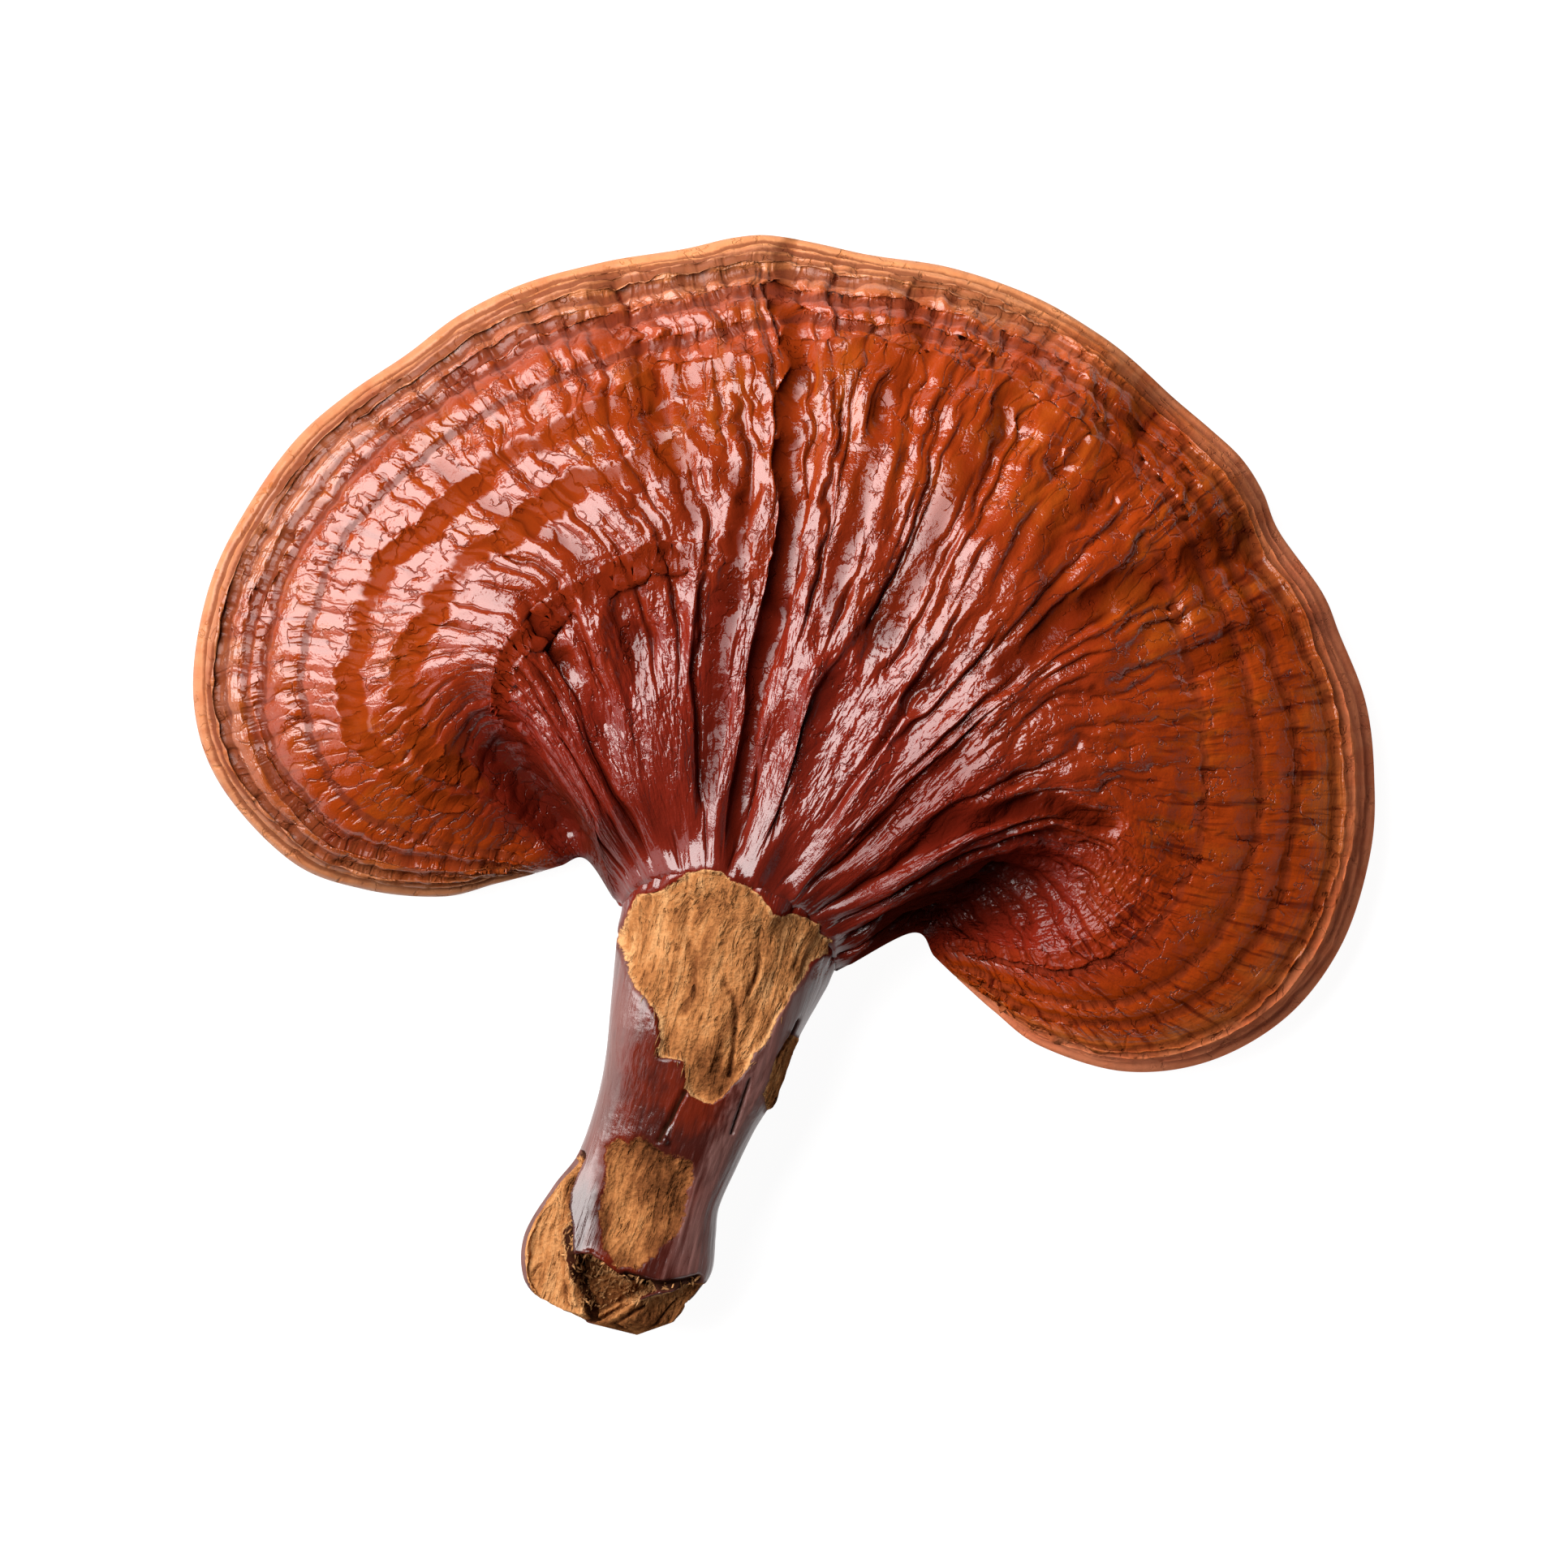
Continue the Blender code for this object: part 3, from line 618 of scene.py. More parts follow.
def wood_fields(place, bare, ragged):
    """Ragged mask of bare wood, and its grain, slits, lumps and crumbs, at a place in mm."""
    x, y, z = place.parts()
    along = x * STEM_ALONG[0] + y * STEM_ALONG[1]
    across = x * STEM_ALONG[1] - y * STEM_ALONG[0]
    edge = bare + place.noise(x * 0.6, y * 0.6, 5.0, detail=4.0) * ragged
    bend = place.noise(along * 0.08, across * 0.20, z * 0.20)
    grain = place.noise(across * 0.9 + bend * 4.0, along * 0.10, z * 0.9, detail=4.0)
    slit = place.noise(across * 2.2 + bend * 9.0, along * 0.40, z * 2.2 + 9.0, detail=2.0)
    lump = place.noise(across * 0.28 + bend, along * 0.13, z * 0.28 + 4.0, detail=2.0)
    crumb = place.noise(x * 0.55, y * 0.55, z * 0.55, detail=4.0)
    return edge, grain, slit, lump, crumb


def open_tree(name, settings):
    """A geometry tree with an input for each setting: the inputs, its start and their values."""
    tree = bpy.data.node_groups.new(name, "GeometryNodeTree")
    for way in ("OUTPUT", "INPUT"):
        tree.interface.new_socket("Geometry", in_out=way, socket_type="NodeSocketGeometry")
    inputs = {
        each: tree.interface.new_socket(each, in_out="INPUT", socket_type="NodeSocketFloat")
        for each in settings
    }
    entry = tree.nodes.new("NodeGroupInput")
    value = {each: Wire(tree, entry.outputs[each]) for each in settings}
    return inputs, Wire(tree, entry.outputs["Geometry"]), value


def run_tree(piece, whole, inputs, settings):
    """Ends a tree and gives the piece the plain mesh that the tree makes with the settings."""
    tree = whole.tree
    tree.links.new(whole.socket, tree.nodes.new("NodeGroupOutput").inputs["Geometry"])
    modifier = piece.modifiers.new(tree.name, "NODES")
    modifier.node_group = tree
    for name, setting in settings.items():
        modifier[inputs[name].identifier] = setting
    graph = bpy.context.evaluated_depsgraph_get()
    data = bpy.data.meshes.new_from_object(
        piece.evaluated_get(graph), preserve_all_data_layers=True, depsgraph=graph
    )
    piece.modifiers.clear()
    piece.data = data
    data.shade_smooth()


def grow_relief(piece, materials, settings):
    """Lowers a piece's surface by the crust's relief, as a plain mesh with its materials."""
    inputs, start, value = open_tree("crust relief", settings)

    def known(name, kind="FLOAT"):
        return start.node("GeometryNodeInputNamedAttribute", {"Name": name}, data_type=kind)

    place = start.node("GeometryNodeInputPosition").scaled(1.0 / MM)
    station, reach, rib, ripple, near, wide = crust_fields(known("growth", "FLOAT_VECTOR"))
    edge, grain, slit, lump, crumb = wood_fields(place, known("bare"), value["Ragged edge"])
    calm = (1 - 0.4 * reach.ease(2.7, 2.9)) * (1 - 0.45 * known("furrow"))
    neck = 0.25 + 0.25 * reach.ease(-0.15, 0.05) + 0.5 * reach.ease(0.0, 0.5)
    x, y, z = place.parts()
    crinkle = 0.25 - abs(place.noise(x * 0.42, y * 0.42, z * 0.42, detail=3.0))
    crust = value["Rib depth"] * (rib + 0.25) + value["Ripple depth"] * (ripple + 0.25)
    crust = crust + value["Crinkle depth"] * crinkle * (1 - 0.5 * reach.ease(0.8, 1.5))
    crust = (crust + value["Crease depth"] * wide) * calm * neck
    crust = crust * (0.4 + 0.6 * reach.ease(-0.06, 0.0))
    recess = known("recess")
    wood = recess + value["Grain depth"] * (grain + 0.2)
    wood = wood + value["Lump of wood depth"] * (lump + 0.1) + 0.25 * slit.ease(0.08, 0.18)
    wood = wood + value["Crumb depth"] * abs(crumb) * recess.ease(0.7, 1.2)
    bare = edge.ease(-0.05, 0.3)
    drop = (crust + bare * (wood - crust)) * known("relief") * -MM
    offset = known("facing", "FLOAT_VECTOR").scaled(drop)
    shaped = start.node("GeometryNodeSetPosition", {"Geometry": start, "Offset": offset})
    tilt = start.node("GeometryNodeInputNormal").parts()[2]
    shaped = start.node(
        "GeometryNodeStoreNamedAttribute", {"Geometry": shaped, "Name": "tilt", "Value": tilt},
        data_type="FLOAT", domain="POINT",
    )
    whole = start.node("GeometryNodeRealizeInstances", {"Geometry": shaped})
    for number, material in enumerate(materials):
        index = start.node("GeometryNodeInputMaterialIndex")
        chosen = start.node(
            "FunctionNodeCompare", {2: index, 3: number}, data_type="INT", operation="EQUAL"
        )
        sockets = {"Geometry": whole, "Selection": chosen, "Material": material}
        whole = start.node("GeometryNodeSetMaterial", sockets)
    run_tree(piece, whole, inputs, settings)


# The crust is dark maroon by the neck and red-brown to orange outwards, with a tan margin. It is
# clear and glossy like lacquer over wood, darker in its furrows, with painted shade in
# its creases, folds and hollows. It is darker and redder by the two ends of the fan, partly its
# own colour and partly painted shade, and some sheen and light are painted into it in places.
CRUST_STOPS_FROM = -1.2
CRUST_STOPS = (
    (0.000, (0.0533, 0.0074, 0.0033)),
    (0.220, (0.0656, 0.0074, 0.0033)),
    (0.286, (0.1066, 0.0090, 0.0041)),
    (0.430, (0.1476, 0.0107, 0.0041)),
    (0.524, (0.1681, 0.0156, 0.0033)),
    (0.667, (0.2060, 0.0220, 0.0020)),
    (0.833, (0.2300, 0.0280, 0.0022)),
    (0.915, (0.2320, 0.0290, 0.0019)),
    (0.962, (0.2700, 0.0650, 0.0130)),
    (1.000, (0.3900, 0.1530, 0.0640)),
)
FURROW_RED = (0.1558, 0.0205, 0.0025, 1.0)
MARGIN_PURPLE = (0.0900, 0.0190, 0.0110, 1.0)
RISER_SHEEN_LILAC = (0.1640, 0.0508, 0.0410, 1.0)
# Dark of the furrows, cracks and streaks, and of the painted shade in creases, folds and hollows
CREASE_DARK = (0.046, 0.0034, 0.0014, 1.0)
SHADED_RIM = (0.540, 0.150, 0.080, 1.0)
MARGIN_TAN = (0.470, 0.180, 0.066, 1.0)
CRACK_BROWN = (0.024, 0.0085, 0.0045, 1.0)
STEM_MAROON = (0.034, 0.0060, 0.0040, 1.0)
STEM_RED = (0.100, 0.0100, 0.0030, 1.0)
# Painted reflection on the stem's two sides
STEM_SHEEN_LILAC = (0.150, 0.0700, 0.0600, 1.0)
AMBER = (0.2400, 0.0430, 0.0028, 1.0)
WOOD_STOPS = (
    (0.00, (0.0328, 0.0098, 0.0036)),
    (0.30, (0.1476, 0.0508, 0.0164)),
    (0.55, (0.3116, 0.1246, 0.0410)),
    (1.00, (0.5084, 0.2706, 0.1148)),
)
GLOSSY = 0.13
MARGIN_SATIN = 0.42
SHINE = 0.6
MATT = 0.85


def make_material(name):
    """An empty matt material: itself, its shader node, and a wire to add nodes with."""
    material = bpy.data.materials.new(name)
    material.use_nodes = True
    shader = material.node_tree.nodes["Principled BSDF"]
    shader.inputs["Roughness"].default_value = MATT
    shader.inputs["Specular IOR Level"].default_value = 0.0
    return material, shader, Wire(material.node_tree)


def crust_material(name):
    material, dull_shader, start = make_material(name)
    gloss = start.node("ShaderNodeBsdfPrincipled", {"Specular IOR Level": SHINE})
    gloss_shader = gloss.socket.node

    def known(attribute, output="Fac"):
        return start.node("ShaderNodeAttribute", output=output, attribute_name=attribute)

    place = start.node("ShaderNodeTexCoord", output="Object").scaled(1.0 / MM)
    x, y, z = place.parts()
    growth = known("growth", "Vector")
    station, reach, rib, ripple, near, wide = crust_fields(growth)
    edge, grain, slit, lump, crumb = wood_fields(place, known("bare"), CRUST_RELIEF["Ragged edge"])

    def grown(per_station, per_reach, seed, detail=2.0):
        """Noise that follows the growth."""
        return growth.noise(station * per_station, reach * per_reach, seed, detail=detail)

    def spotted(per_mm, detail=3.0):
        """Noise that is the same size all over."""
        return place.noise(x * per_mm, y * per_mm, z * per_mm, detail=detail)

    streak, mottle, grit = grown(5.0, 1.6, 41.0, 3.0), spotted(0.12), spotted(2.1)
    outer = reach.ease(0.8, 1.5)
    furrow, fold, step, step_line = (known(name) for name in ("furrow", "fold", "step", "line"))

    # Hard skin that has crazed as it dried: short cracks, mostly along the growth
    wander = spotted(0.45)
    craze = 0.0
    for per_station, per_reach, share in ((1.5, 5.0, 1 - outer), (3.0, 6.0, outer)):
        cell = start.node("ShaderNodeCombineXYZ", {
            0: station * per_station + wander * 1.6, 1: reach * per_reach + wander * 2.2,
        })
        cell = start.node(
            "ShaderNodeTexVoronoi", {"Vector": cell, "Scale": 1.0}, voronoi_dimensions="2D",
            feature="DISTANCE_TO_EDGE",
        )
        craze = craze + (1 - cell.ease(0.01, 0.07)) * share
    craze = craze * spotted(0.35, 2.0).ease(-0.06, 0.10) * reach.ease(0.1, 0.5)

    # Colour along the growth: darker by the neck; darker and redder by the fan's two ends, partly
    # their own colour and partly painted shade beside the neck; with amber patches
    ends = ((1 - station.ease(1.0, 5.5)) + station.ease(24.5, 28.5)) * reach.ease(0.0, 0.5)
    fade = reach - 1.1 * ends * (1 - reach.ease(2.0, 2.6)) + mottle * 0.5 + streak * 0.3
    fade = (fade - CRUST_STOPS_FROM) * (1.0 / (RIM_REACH - CRUST_STOPS_FROM))
    colour = start.node("ShaderNodeValToRGB", {0: fade}, stops=CRUST_STOPS)
    amber = (mottle + streak + 0.6 * rib).ease(-0.04, 0.26) * reach.ease(1.2, 1.9)
    colour = (amber * 0.75 * (1 - ends)).mix(colour, AMBER)

    # Furrows, and near the rim the treads' combs of fine teeth, their risers and their edge lines
    in_furrow = (furrow + streak * 0.7 + grit * 0.35).ease(0.25, 0.60)
    in_furrow = in_furrow * (1 - 0.75 * station.ease(10.5, 13.0))
    colour = (in_furrow * 0.7 * outer).mix(colour, FURROW_RED)
    colour = (in_furrow * 0.4 * (1 - outer)).mix(colour, CREASE_DARK)
    riser = step.ease(0.5, 0.9)
    comb = step.between(0.0, 0.06, 0.25, 0.6) * grown(8.0, 2.5, 61.0).ease(-0.02, 0.14)
    on_line = (step_line + streak * 0.5 + grit * 0.3).ease(0.25, 0.7)
    # The margin is tan, and paler towards the top of the fan as painted light
    pale = reach.ease(2.5, 2.9) * station.between(4.0, 8.0, 16.0, 19.0)
    colour = (pale * (0.2 + 0.5 * station.ease(10.0, 13.0) + streak)).mix(colour, MARGIN_TAN)
    sheen = station.between(2.0, 5.0, 14.0, 19.0)
    # Painted reflection: risers on the left turn lilac, and the purple edge lines are stronger
    # there
    colour = (riser * 0.25 * sheen).mix(colour, RISER_SHEEN_LILAC)
    colour = (on_line * (0.40 + 0.30 * sheen)).mix(colour, MARGIN_PURPLE)

    # Painted shade darkens the folds, creases, combs' teeth and hollows of the relief, the low
    # hollow right of the neck and the cheek at the lower right. Cracks and streaks are dark too.
    in_fold = (fold + streak * 0.5).ease(0.4, 1.2)
    colour = (in_fold * (0.8 - 0.3 * outer)).mix(colour, CREASE_DARK)
    dark = (rib * 0.9 + ripple * 0.9).ease(0.02, 0.30) * 0.45 + near * 0.6
    shaded_low_right = station.ease(18.5, 21.5) * reach.between(0.0, 0.15, 0.6, 1.0)
    stripe = grown(9.0, 2.4, 83.0).ease(0.02, 0.2) * reach.between(1.5, 1.9, 2.75, 2.85)
    right = station.ease(17.0, 21.0)
    cheek = station.ease(23.5, 26.0) * reach.between(0.6, 1.0, 1.9, 2.2)
    dark = dark + craze * 0.35 + comb * 0.25 + shaded_low_right * 0.25 + stripe * (0.35 + 0.3 * right)
    dark = (dark + cheek * 0.22) * (1 - 0.75 * reach.ease(2.78, 2.93))
    colour = dark.mix(colour, CREASE_DARK)
    shaded_rim = reach.ease(2.80, 2.97) * station.ease(17.0, 23.0)
    colour = (shaded_rim * 0.5).mix(colour, SHADED_RIM)

    # The stem's maroon crust, scratched along it, with a painted lilac reflection on both sides
    along = x * STEM_ALONG[0] + y * STEM_ALONG[1]
    across = x * STEM_ALONG[1] - y * STEM_ALONG[0]
    scratch = place.noise(across * 1.6, along * 0.10, z * 1.6, detail=4.0)
    on_stem = 1 - reach.ease(-0.10, 0.02)
    stained = (scratch * 0.5 + mottle * 1.2).ease(-0.16, 0.20)
    colour = (on_stem * 0.9).mix(colour, stained.mix(STEM_MAROON, STEM_RED))
    side = station + scratch * 9.0
    painted_sheen = on_stem * (1 - side.ease(3.0, 7.5) + side.ease(16.5, 22.0))
    colour = (painted_sheen * (0.7 + scratch * 0.9)).mix(colour, STEM_SHEEN_LILAC)

    # Painted light: the right half and the top of the fan are brightened
    top = station.between(9.0, 12.0, 17.0, 20.0) * reach.ease(1.9, 2.3)
    painted_light_gain = 1 + 0.25 * station.ease(13.5, 18.0) * reach.ease(1.0, 1.8) + 0.22 * top
    colour = start.node("ShaderNodeHueSaturation", {"Value": painted_light_gain, "Color": colour})

    # Bare wood, with dark slits along its grain
    crack = fold * (1 - reach.ease(-0.06, 0.0))
    colour = (crack.ease(0.1, 0.6) * 0.9).mix(colour, CRACK_BROWN)
    many = place.noise(x * 0.15, y * 0.15, 7.0).ease(-0.12, 0.1)
    tone = known("tone") + grain * 0.7 + grit * 0.4 + lump * 0.8 - crumb * 0.3
    tone = tone - 0.35 * slit.ease(0.15, 0.24) * many - crack * 0.6
    tone = tone + 0.3 * (1 - edge.ease(0.05, 0.55)) * known("tone").ease(0.35, 0.5)
    wood = start.node("ShaderNodeValToRGB", {0: tone}, stops=WOOD_STOPS)
    bare = (edge + grit * 0.3).ease(-0.05, 0.10)
    colour = bare.mix(colour, wood)

    # The margin, the stem's painted sheen and the top of the fan are satin, and the rest is glossy
    satin = reach.ease(2.72, 2.95) + 0.15 * (1 - reach.ease(-0.3, 0.0))
    satin = satin + painted_sheen * 0.6 + cheek * 0.15 + top * 0.5
    rough = GLOSSY + grit * 0.10 + satin * (MARGIN_SATIN - GLOSSY)

    # The finest relief of the skin and the wood, in millimetres
    inner_line = grown(2.2, 7.0, 43.0, 3.0) * reach.ease(0.1, 0.6)
    outer_line = grown(5.0, 6.5, 47.0, 3.0)
    line = inner_line + outer * (outer_line - inner_line)
    peel, skin = spotted(0.9, 4.0), spotted(3.1, 2.0)
    pleat = abs(grown(3.2, 10.0, 67.0)) * reach.ease(0.0, 0.4)
    bands = grown(0.8, 36.0, 53.0) * reach.ease(2.55, 2.8)
    crinkle = abs(grown(1.4, 9.0, 59.0)) * reach.ease(0.0, 0.4)
    crust_height = peel * 0.06 + skin * 0.040 + line * (0.16 - 0.07 * outer)
    middle = station.between(9.0, 12.5, 19.0, 22.0)
    crinkled = (crinkle * 0.35 + pleat * 0.5) * (1 - outer) + pleat * 0.2 * outer * middle
    crust_height = crust_height + crinkled + (crinkle + pleat) * 0.6 * cheek
    crust_height = crust_height + (peel * 0.05 + outer_line * 0.08) * right * outer
    crust_height = crust_height - 0.22 * near - 0.09 * craze + bands * 0.2 - comb * 0.10
    crust_height = crust_height + on_stem * (scratch * 0.13 + peel * 0.05 - crust_height)
    wood_height = grain * 0.7 + grit * 0.30 - 0.30 * slit.ease(0.08, 0.18) * many + crumb * 0.4
    height = crust_height + bare * (wood_height - crust_height)
    bump = start.node("ShaderNodeBump", {"Height": height, "Distance": MM, "Strength": 1.0})
    for shader in (gloss_shader, dull_shader):
        start.tree.links.new(colour.socket, shader.inputs["Base Color"])
        start.tree.links.new(bump.socket, shader.inputs["Normal"])
    start.tree.links.new(rough.socket, gloss_shader.inputs["Roughness"])

    # The crust has lost its gloss in furrows, creases, cracks and steep flanks, and by bare wood
    steep = 1 - known("tilt").ease(0.5, 0.82)
    steep = steep * reach.ease(0.0, 0.3) * (1 - reach.ease(2.3, 2.7) * (1 - right))
    steep = steep * (1 - 0.6 * top)
    dull = in_furrow * 0.95 + fold.ease(0.5, 1.1) * 0.8 + near * 0.6 + craze * 0.6 + bare
    dull = dull + on_line * (0.6 + 0.35 * right) + riser * 0.6 * right
    dull = dull + ends * 0.15 * reach.between(1.2, 1.8, 2.7, 2.85)
    dull = dull + reach.ease(2.72, 2.85) * station.ease(15.0, 20.0) * 0.5
    dull = dull + cheek * 0.5 + shaded_low_right * 0.55 + comb * 0.4
    dull = dull + steep * 0.8 + edge.ease(-0.6, -0.1) * 0.8
    dull = dull + crack.ease(0.05, 0.3) * 0.9 + reach.ease(2.80, 2.92) * 0.35
    matt = Wire(start.tree, dull_shader.outputs["BSDF"])
    whole = start.node("ShaderNodeMixShader", {0: dull, 1: gloss, 2: matt})
    leave = start.tree.nodes["Material Output"]
    start.tree.links.new(whole.socket, leave.inputs["Surface"])
    return material


# The pore face is matt and cream to tan, with pores a quarter of a millimetre apart.
PORE_CREAM = (0.3300, 0.2080, 0.1150, 1.0)
PORE_TAN = (0.1624, 0.0886, 0.0394, 1.0)
PORE_DARK = (0.0787, 0.0394, 0.0172, 1.0)
PORES_PER_MM = 3.2


def pore_material(name):
    material, shader, start = make_material(name)
    place = start.node("ShaderNodeTexCoord", output="Object").scaled(1.0 / MM)
    x, y, z = place.parts()
    stain = place.noise(x * 0.06, y * 0.06, z * 0.06, detail=4.0)
    pores = start.node("ShaderNodeTexVoronoi", {"Vector": place, "Scale": PORES_PER_MM})
    hole = 1 - pores.ease(0.12, 0.34)
    colour = (stain + 0.4).ease(0.2, 0.75).mix(PORE_CREAM, PORE_TAN)
    colour = (hole * 0.7).mix(colour, PORE_DARK)
    start.tree.links.new(colour.socket, shader.inputs["Base Color"])
    height = stain * 0.6 - hole * 0.12
    bump = start.node("ShaderNodeBump", {"Height": height, "Distance": MM, "Strength": 1.0})
    start.tree.links.new(bump.socket, shader.inputs["Normal"])
    return material


# The crust's relief fades out at the rim and at the fan's two ends, where the faces meet
LIP_FADE_REACH = 0.02
RELIEF_FADE_REACH = 0.04
RELIEF_NECK_REACH = 0.2
RELIEF_END_FADE = 5.0
NOT_BARE = -9.0

cap_columns = np.linspace(0.0, STATIONS, CAP_COLUMNS + 1)
upper_reach = cap_rows()
upper, _, from_end, marks = cap_faces(upper_reach, cap_columns)
pore_columns = cap_columns[PORE_COLUMN_STEP:-1:PORE_COLUMN_STEP]
_, all_lower, _, _ = cap_faces(np.array(PORE_FACE_ROWS), cap_columns)
lower = all_lower[:, PORE_COLUMN_STEP:-1:PORE_COLUMN_STEP]

reach_grid, station_grid = np.meshgrid(upper_reach, cap_columns, indexing="ij")


def ways_out(grid):
    """The way straight out of a face at every point of its grid."""
    out = np.cross(np.gradient(grid, axis=1), np.gradient(grid, axis=0))
    return out / np.maximum(np.linalg.norm(out, axis=-1, keepdims=True), 1e-9)


upper[..., 2] += neck_ridges(upper) * np.sin(math.pi * station_grid / STATIONS)
lips, in_lip = furrow_depth(MARGIN_LIPS, reach_grid, station_grid)
lips *= smooth((RIM_REACH - reach_grid) / LIP_FADE_REACH)
upper -= ways_out(upper) * lips[..., None]
marks["line"] = np.maximum(marks["line"], in_lip)
facing = ways_out(upper)
inland = smooth(from_end / RELIEF_END_FADE)
relief = inland + (1.0 - inland) * (1.0 - smooth(reach_grid / RELIEF_NECK_REACH))
relief *= smooth((RIM_REACH - reach_grid) / RELIEF_FADE_REACH)
on_top = smooth((facing[..., 2] - 0.1) / 0.3)
bare = np.where(on_top > 0.0, signed_distance(UPPER_PATCH, upper), NOT_BARE)

cap_mesh = Mesh()
upper_rows = cap_mesh.grid(
    upper,
    growth=np.dstack([station_grid, reach_grid, np.zeros_like(reach_grid)]),
    facing=facing,
    relief=relief[..., None],
    bare=bare[..., None],
    tone=0.55,
    recess=UPPER_PATCH_RECESS,
    **{name: values[..., None] for name, values in marks.items()},
    frayed=0.0,
    crumbly=0.0,
)
pore_reach, pore_station = np.meshgrid(PORE_FACE_ROWS, pore_columns, indexing="ij")
pore_growth = np.dstack([pore_station, pore_reach, np.zeros_like(pore_reach)])
lower_rows = cap_mesh.grid(
    lower, slot=1, growth=pore_growth, facing=(0.0, 0.0, -1.0), relief=0.0, bare=NOT_BARE,
    tone=0.5, recess=0.0, **UNMARKED,
)
for column, coarse in ((0, 0), (-1, -1)):
    side = [(reach, row[column]) for reach, row in zip(upper_reach, upper_rows)]
    under = [(reach, row[coarse]) for reach, row in zip(PORE_FACE_ROWS, lower_rows)]
    cap_mesh.zip_up(side, under)
rim_top = list(zip(cap_columns, upper_rows[-1]))
rim_under = list(zip(pore_columns, lower_rows[-1]))
cap_mesh.zip_up(rim_top, rim_under)
neck_centre, _, _, _ = ring_frame(NECK_LEFT, NECK_RIGHT)
cap_mesh.fan(upper_rows[0] + lower_rows[0][::-1], (*neck_centre, NECK_HEIGHT))

crust = crust_material("lacquered crust")
pore_face = pore_material("pore face")
cap = cap_mesh.finish("lacquered_cap", (crust, pore_face))
grow_relief(cap, (crust, pore_face), CRUST_RELIEF)
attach(cap, "root")
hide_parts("cap")


# ---- Stem --------------------------------------------------------------------
# The stem is the same woody growth as the cap, under a thinner maroon crust. The crust has come
# away in two patches that show the wood's grain, and the foot is torn where it broke from its
# log.

STEM_SIDES = 240
STEM_RINGS = 210
STEM_OVERLAP = 1.2
STEM_OVERLAP_SHRINK = 0.97
STEM_SECTIONS = (
    (*NECK_LEFT, *NECK_RIGHT, NECK_HEIGHT, NECK_HALF_HEIGHT),
    (-21.7, -25.4, 1.9, -32.1, 12.8, 9.9),
    (-22.5, -34.1, -1.1, -39.3, 11.5, 9.3),
    (-23.8, -40.3, -3.7, -43.7, 10.5, 8.8),
    (-26.1, -46.6, -6.1, -48.7, 9.7, 8.6),
    (-29.3, -50.8, -8.1, -53.4, 9.3, 8.7),
    (-32.9, -56.8, -8.5, -57.0, 9.2, 9.0),
    (-33.2, -61.9, -9.0, -61.5, 9.2, 9.2),
    (-31.0, -65.1, -11.2, -64.8, 9.0, 8.4),
    (-24.8, -68.0, -13.1, -67.9, 8.6, 5.6),
)
FOOT_END = (-18.6, -69.7, 8.2)
# The break goes on round the lower side of the foot: where it starts, its tone and its depth
FOOT_BREAK_Y = -63.5
FOOT_UNDER_TONE = 0.40
FOOT_UNDER_RECESS = 0.5
STEM_RIDGE_SHIFT = 0.34
STEM_TOP_FLATNESS = 0.40
NECK_ARCH_SECTIONS = 5.0 / 3.0
STEM_REACH_PER_MM = -1.0 / 40.0

LOWER_PATCH = (
    (-22.3, -45.5), (-20.8, -44.2), (-19.7, -45.1), (-18.3, -44.0), (-17.1, -44.9), (-16.0, -45.5),
    (-14.9, -46.5), (-13.6, -46.7), (-12.4, -46.5), (-11.5, -47.4), (-11.2, -49.6), (-11.9, -51.2),
    (-12.3, -53.5), (-13.3, -56.2), (-15.1, -58.1), (-16.9, -59.4), (-18.4, -61.3), (-20.8, -60.5),
    (-21.9, -59.4), (-22.6, -58.1), (-23.0, -55.7), (-23.1, -53.1), (-22.8, -50.1), (-22.4, -47.9),
)
EDGE_CHIP = ((0.8, -31.2), (3.4, -33.0), (2.0, -37.1), (-1.9, -42.9), (-2.5, -38.8), (-0.9, -34.4))
FOOT_LEFT = (
    (-26.1, -46.4), (-26.6, -47.7), (-27.9, -51.3), (-28.1, -52.9), (-27.9, -54.9), (-28.1, -57.0),
    (-27.9, -59.0), (-27.5, -60.9), (-27.0, -62.3), (-26.3, -64.0), (-25.9, -66.8), (-25.3, -68.8),
    (-33.3, -72.0), (-37.0, -60.6), (-36.0, -50.0), (-28.2, -43.8),
)
FOOT_MIDDLE = (
    (-26.3, -59.0), (-24.4, -58.9), (-23.1, -59.7), (-21.8, -60.9), (-19.9, -62.3), (-18.1, -62.3),
    (-16.8, -62.3), (-16.0, -63.6), (-17.4, -64.0), (-18.6, -64.9), (-20.6, -66.1), (-22.7, -67.2),
    (-24.2, -68.0), (-25.5, -67.8), (-26.1, -64.7), (-26.9, -61.9),
)
FOOT_RIGHT = (
    (-24.2, -67.9), (-22.7, -66.8), (-20.7, -65.9), (-18.1, -64.7), (-16.1, -64.0), (-14.0, -63.8),
    (-12.2, -62.8), (-10.8, -62.7), (-8.0, -63.0), (-7.0, -66.8), (-11.9, -72.9), (-19.0, -74.0),
    (-25.2, -71.9),
)
# Bare places: outline, how pale their wood is, how far it lies below the crust, and how crisp the
# edge of the crust is there
BARE_PLACES = (
    (UPPER_PATCH, 0.55, UPPER_PATCH_RECESS, 1.0),
    (LOWER_PATCH, 0.31, 0.15, 0.35),
    (EDGE_CHIP, 0.45, -0.35, 1.0),
    (FOOT_LEFT, 0.66, 0.55, 1.0),
    (FOOT_MIDDLE, 0.22, 1.2, 1.0),
    (FOOT_RIGHT, 0.42, 0.5, 1.0),
)
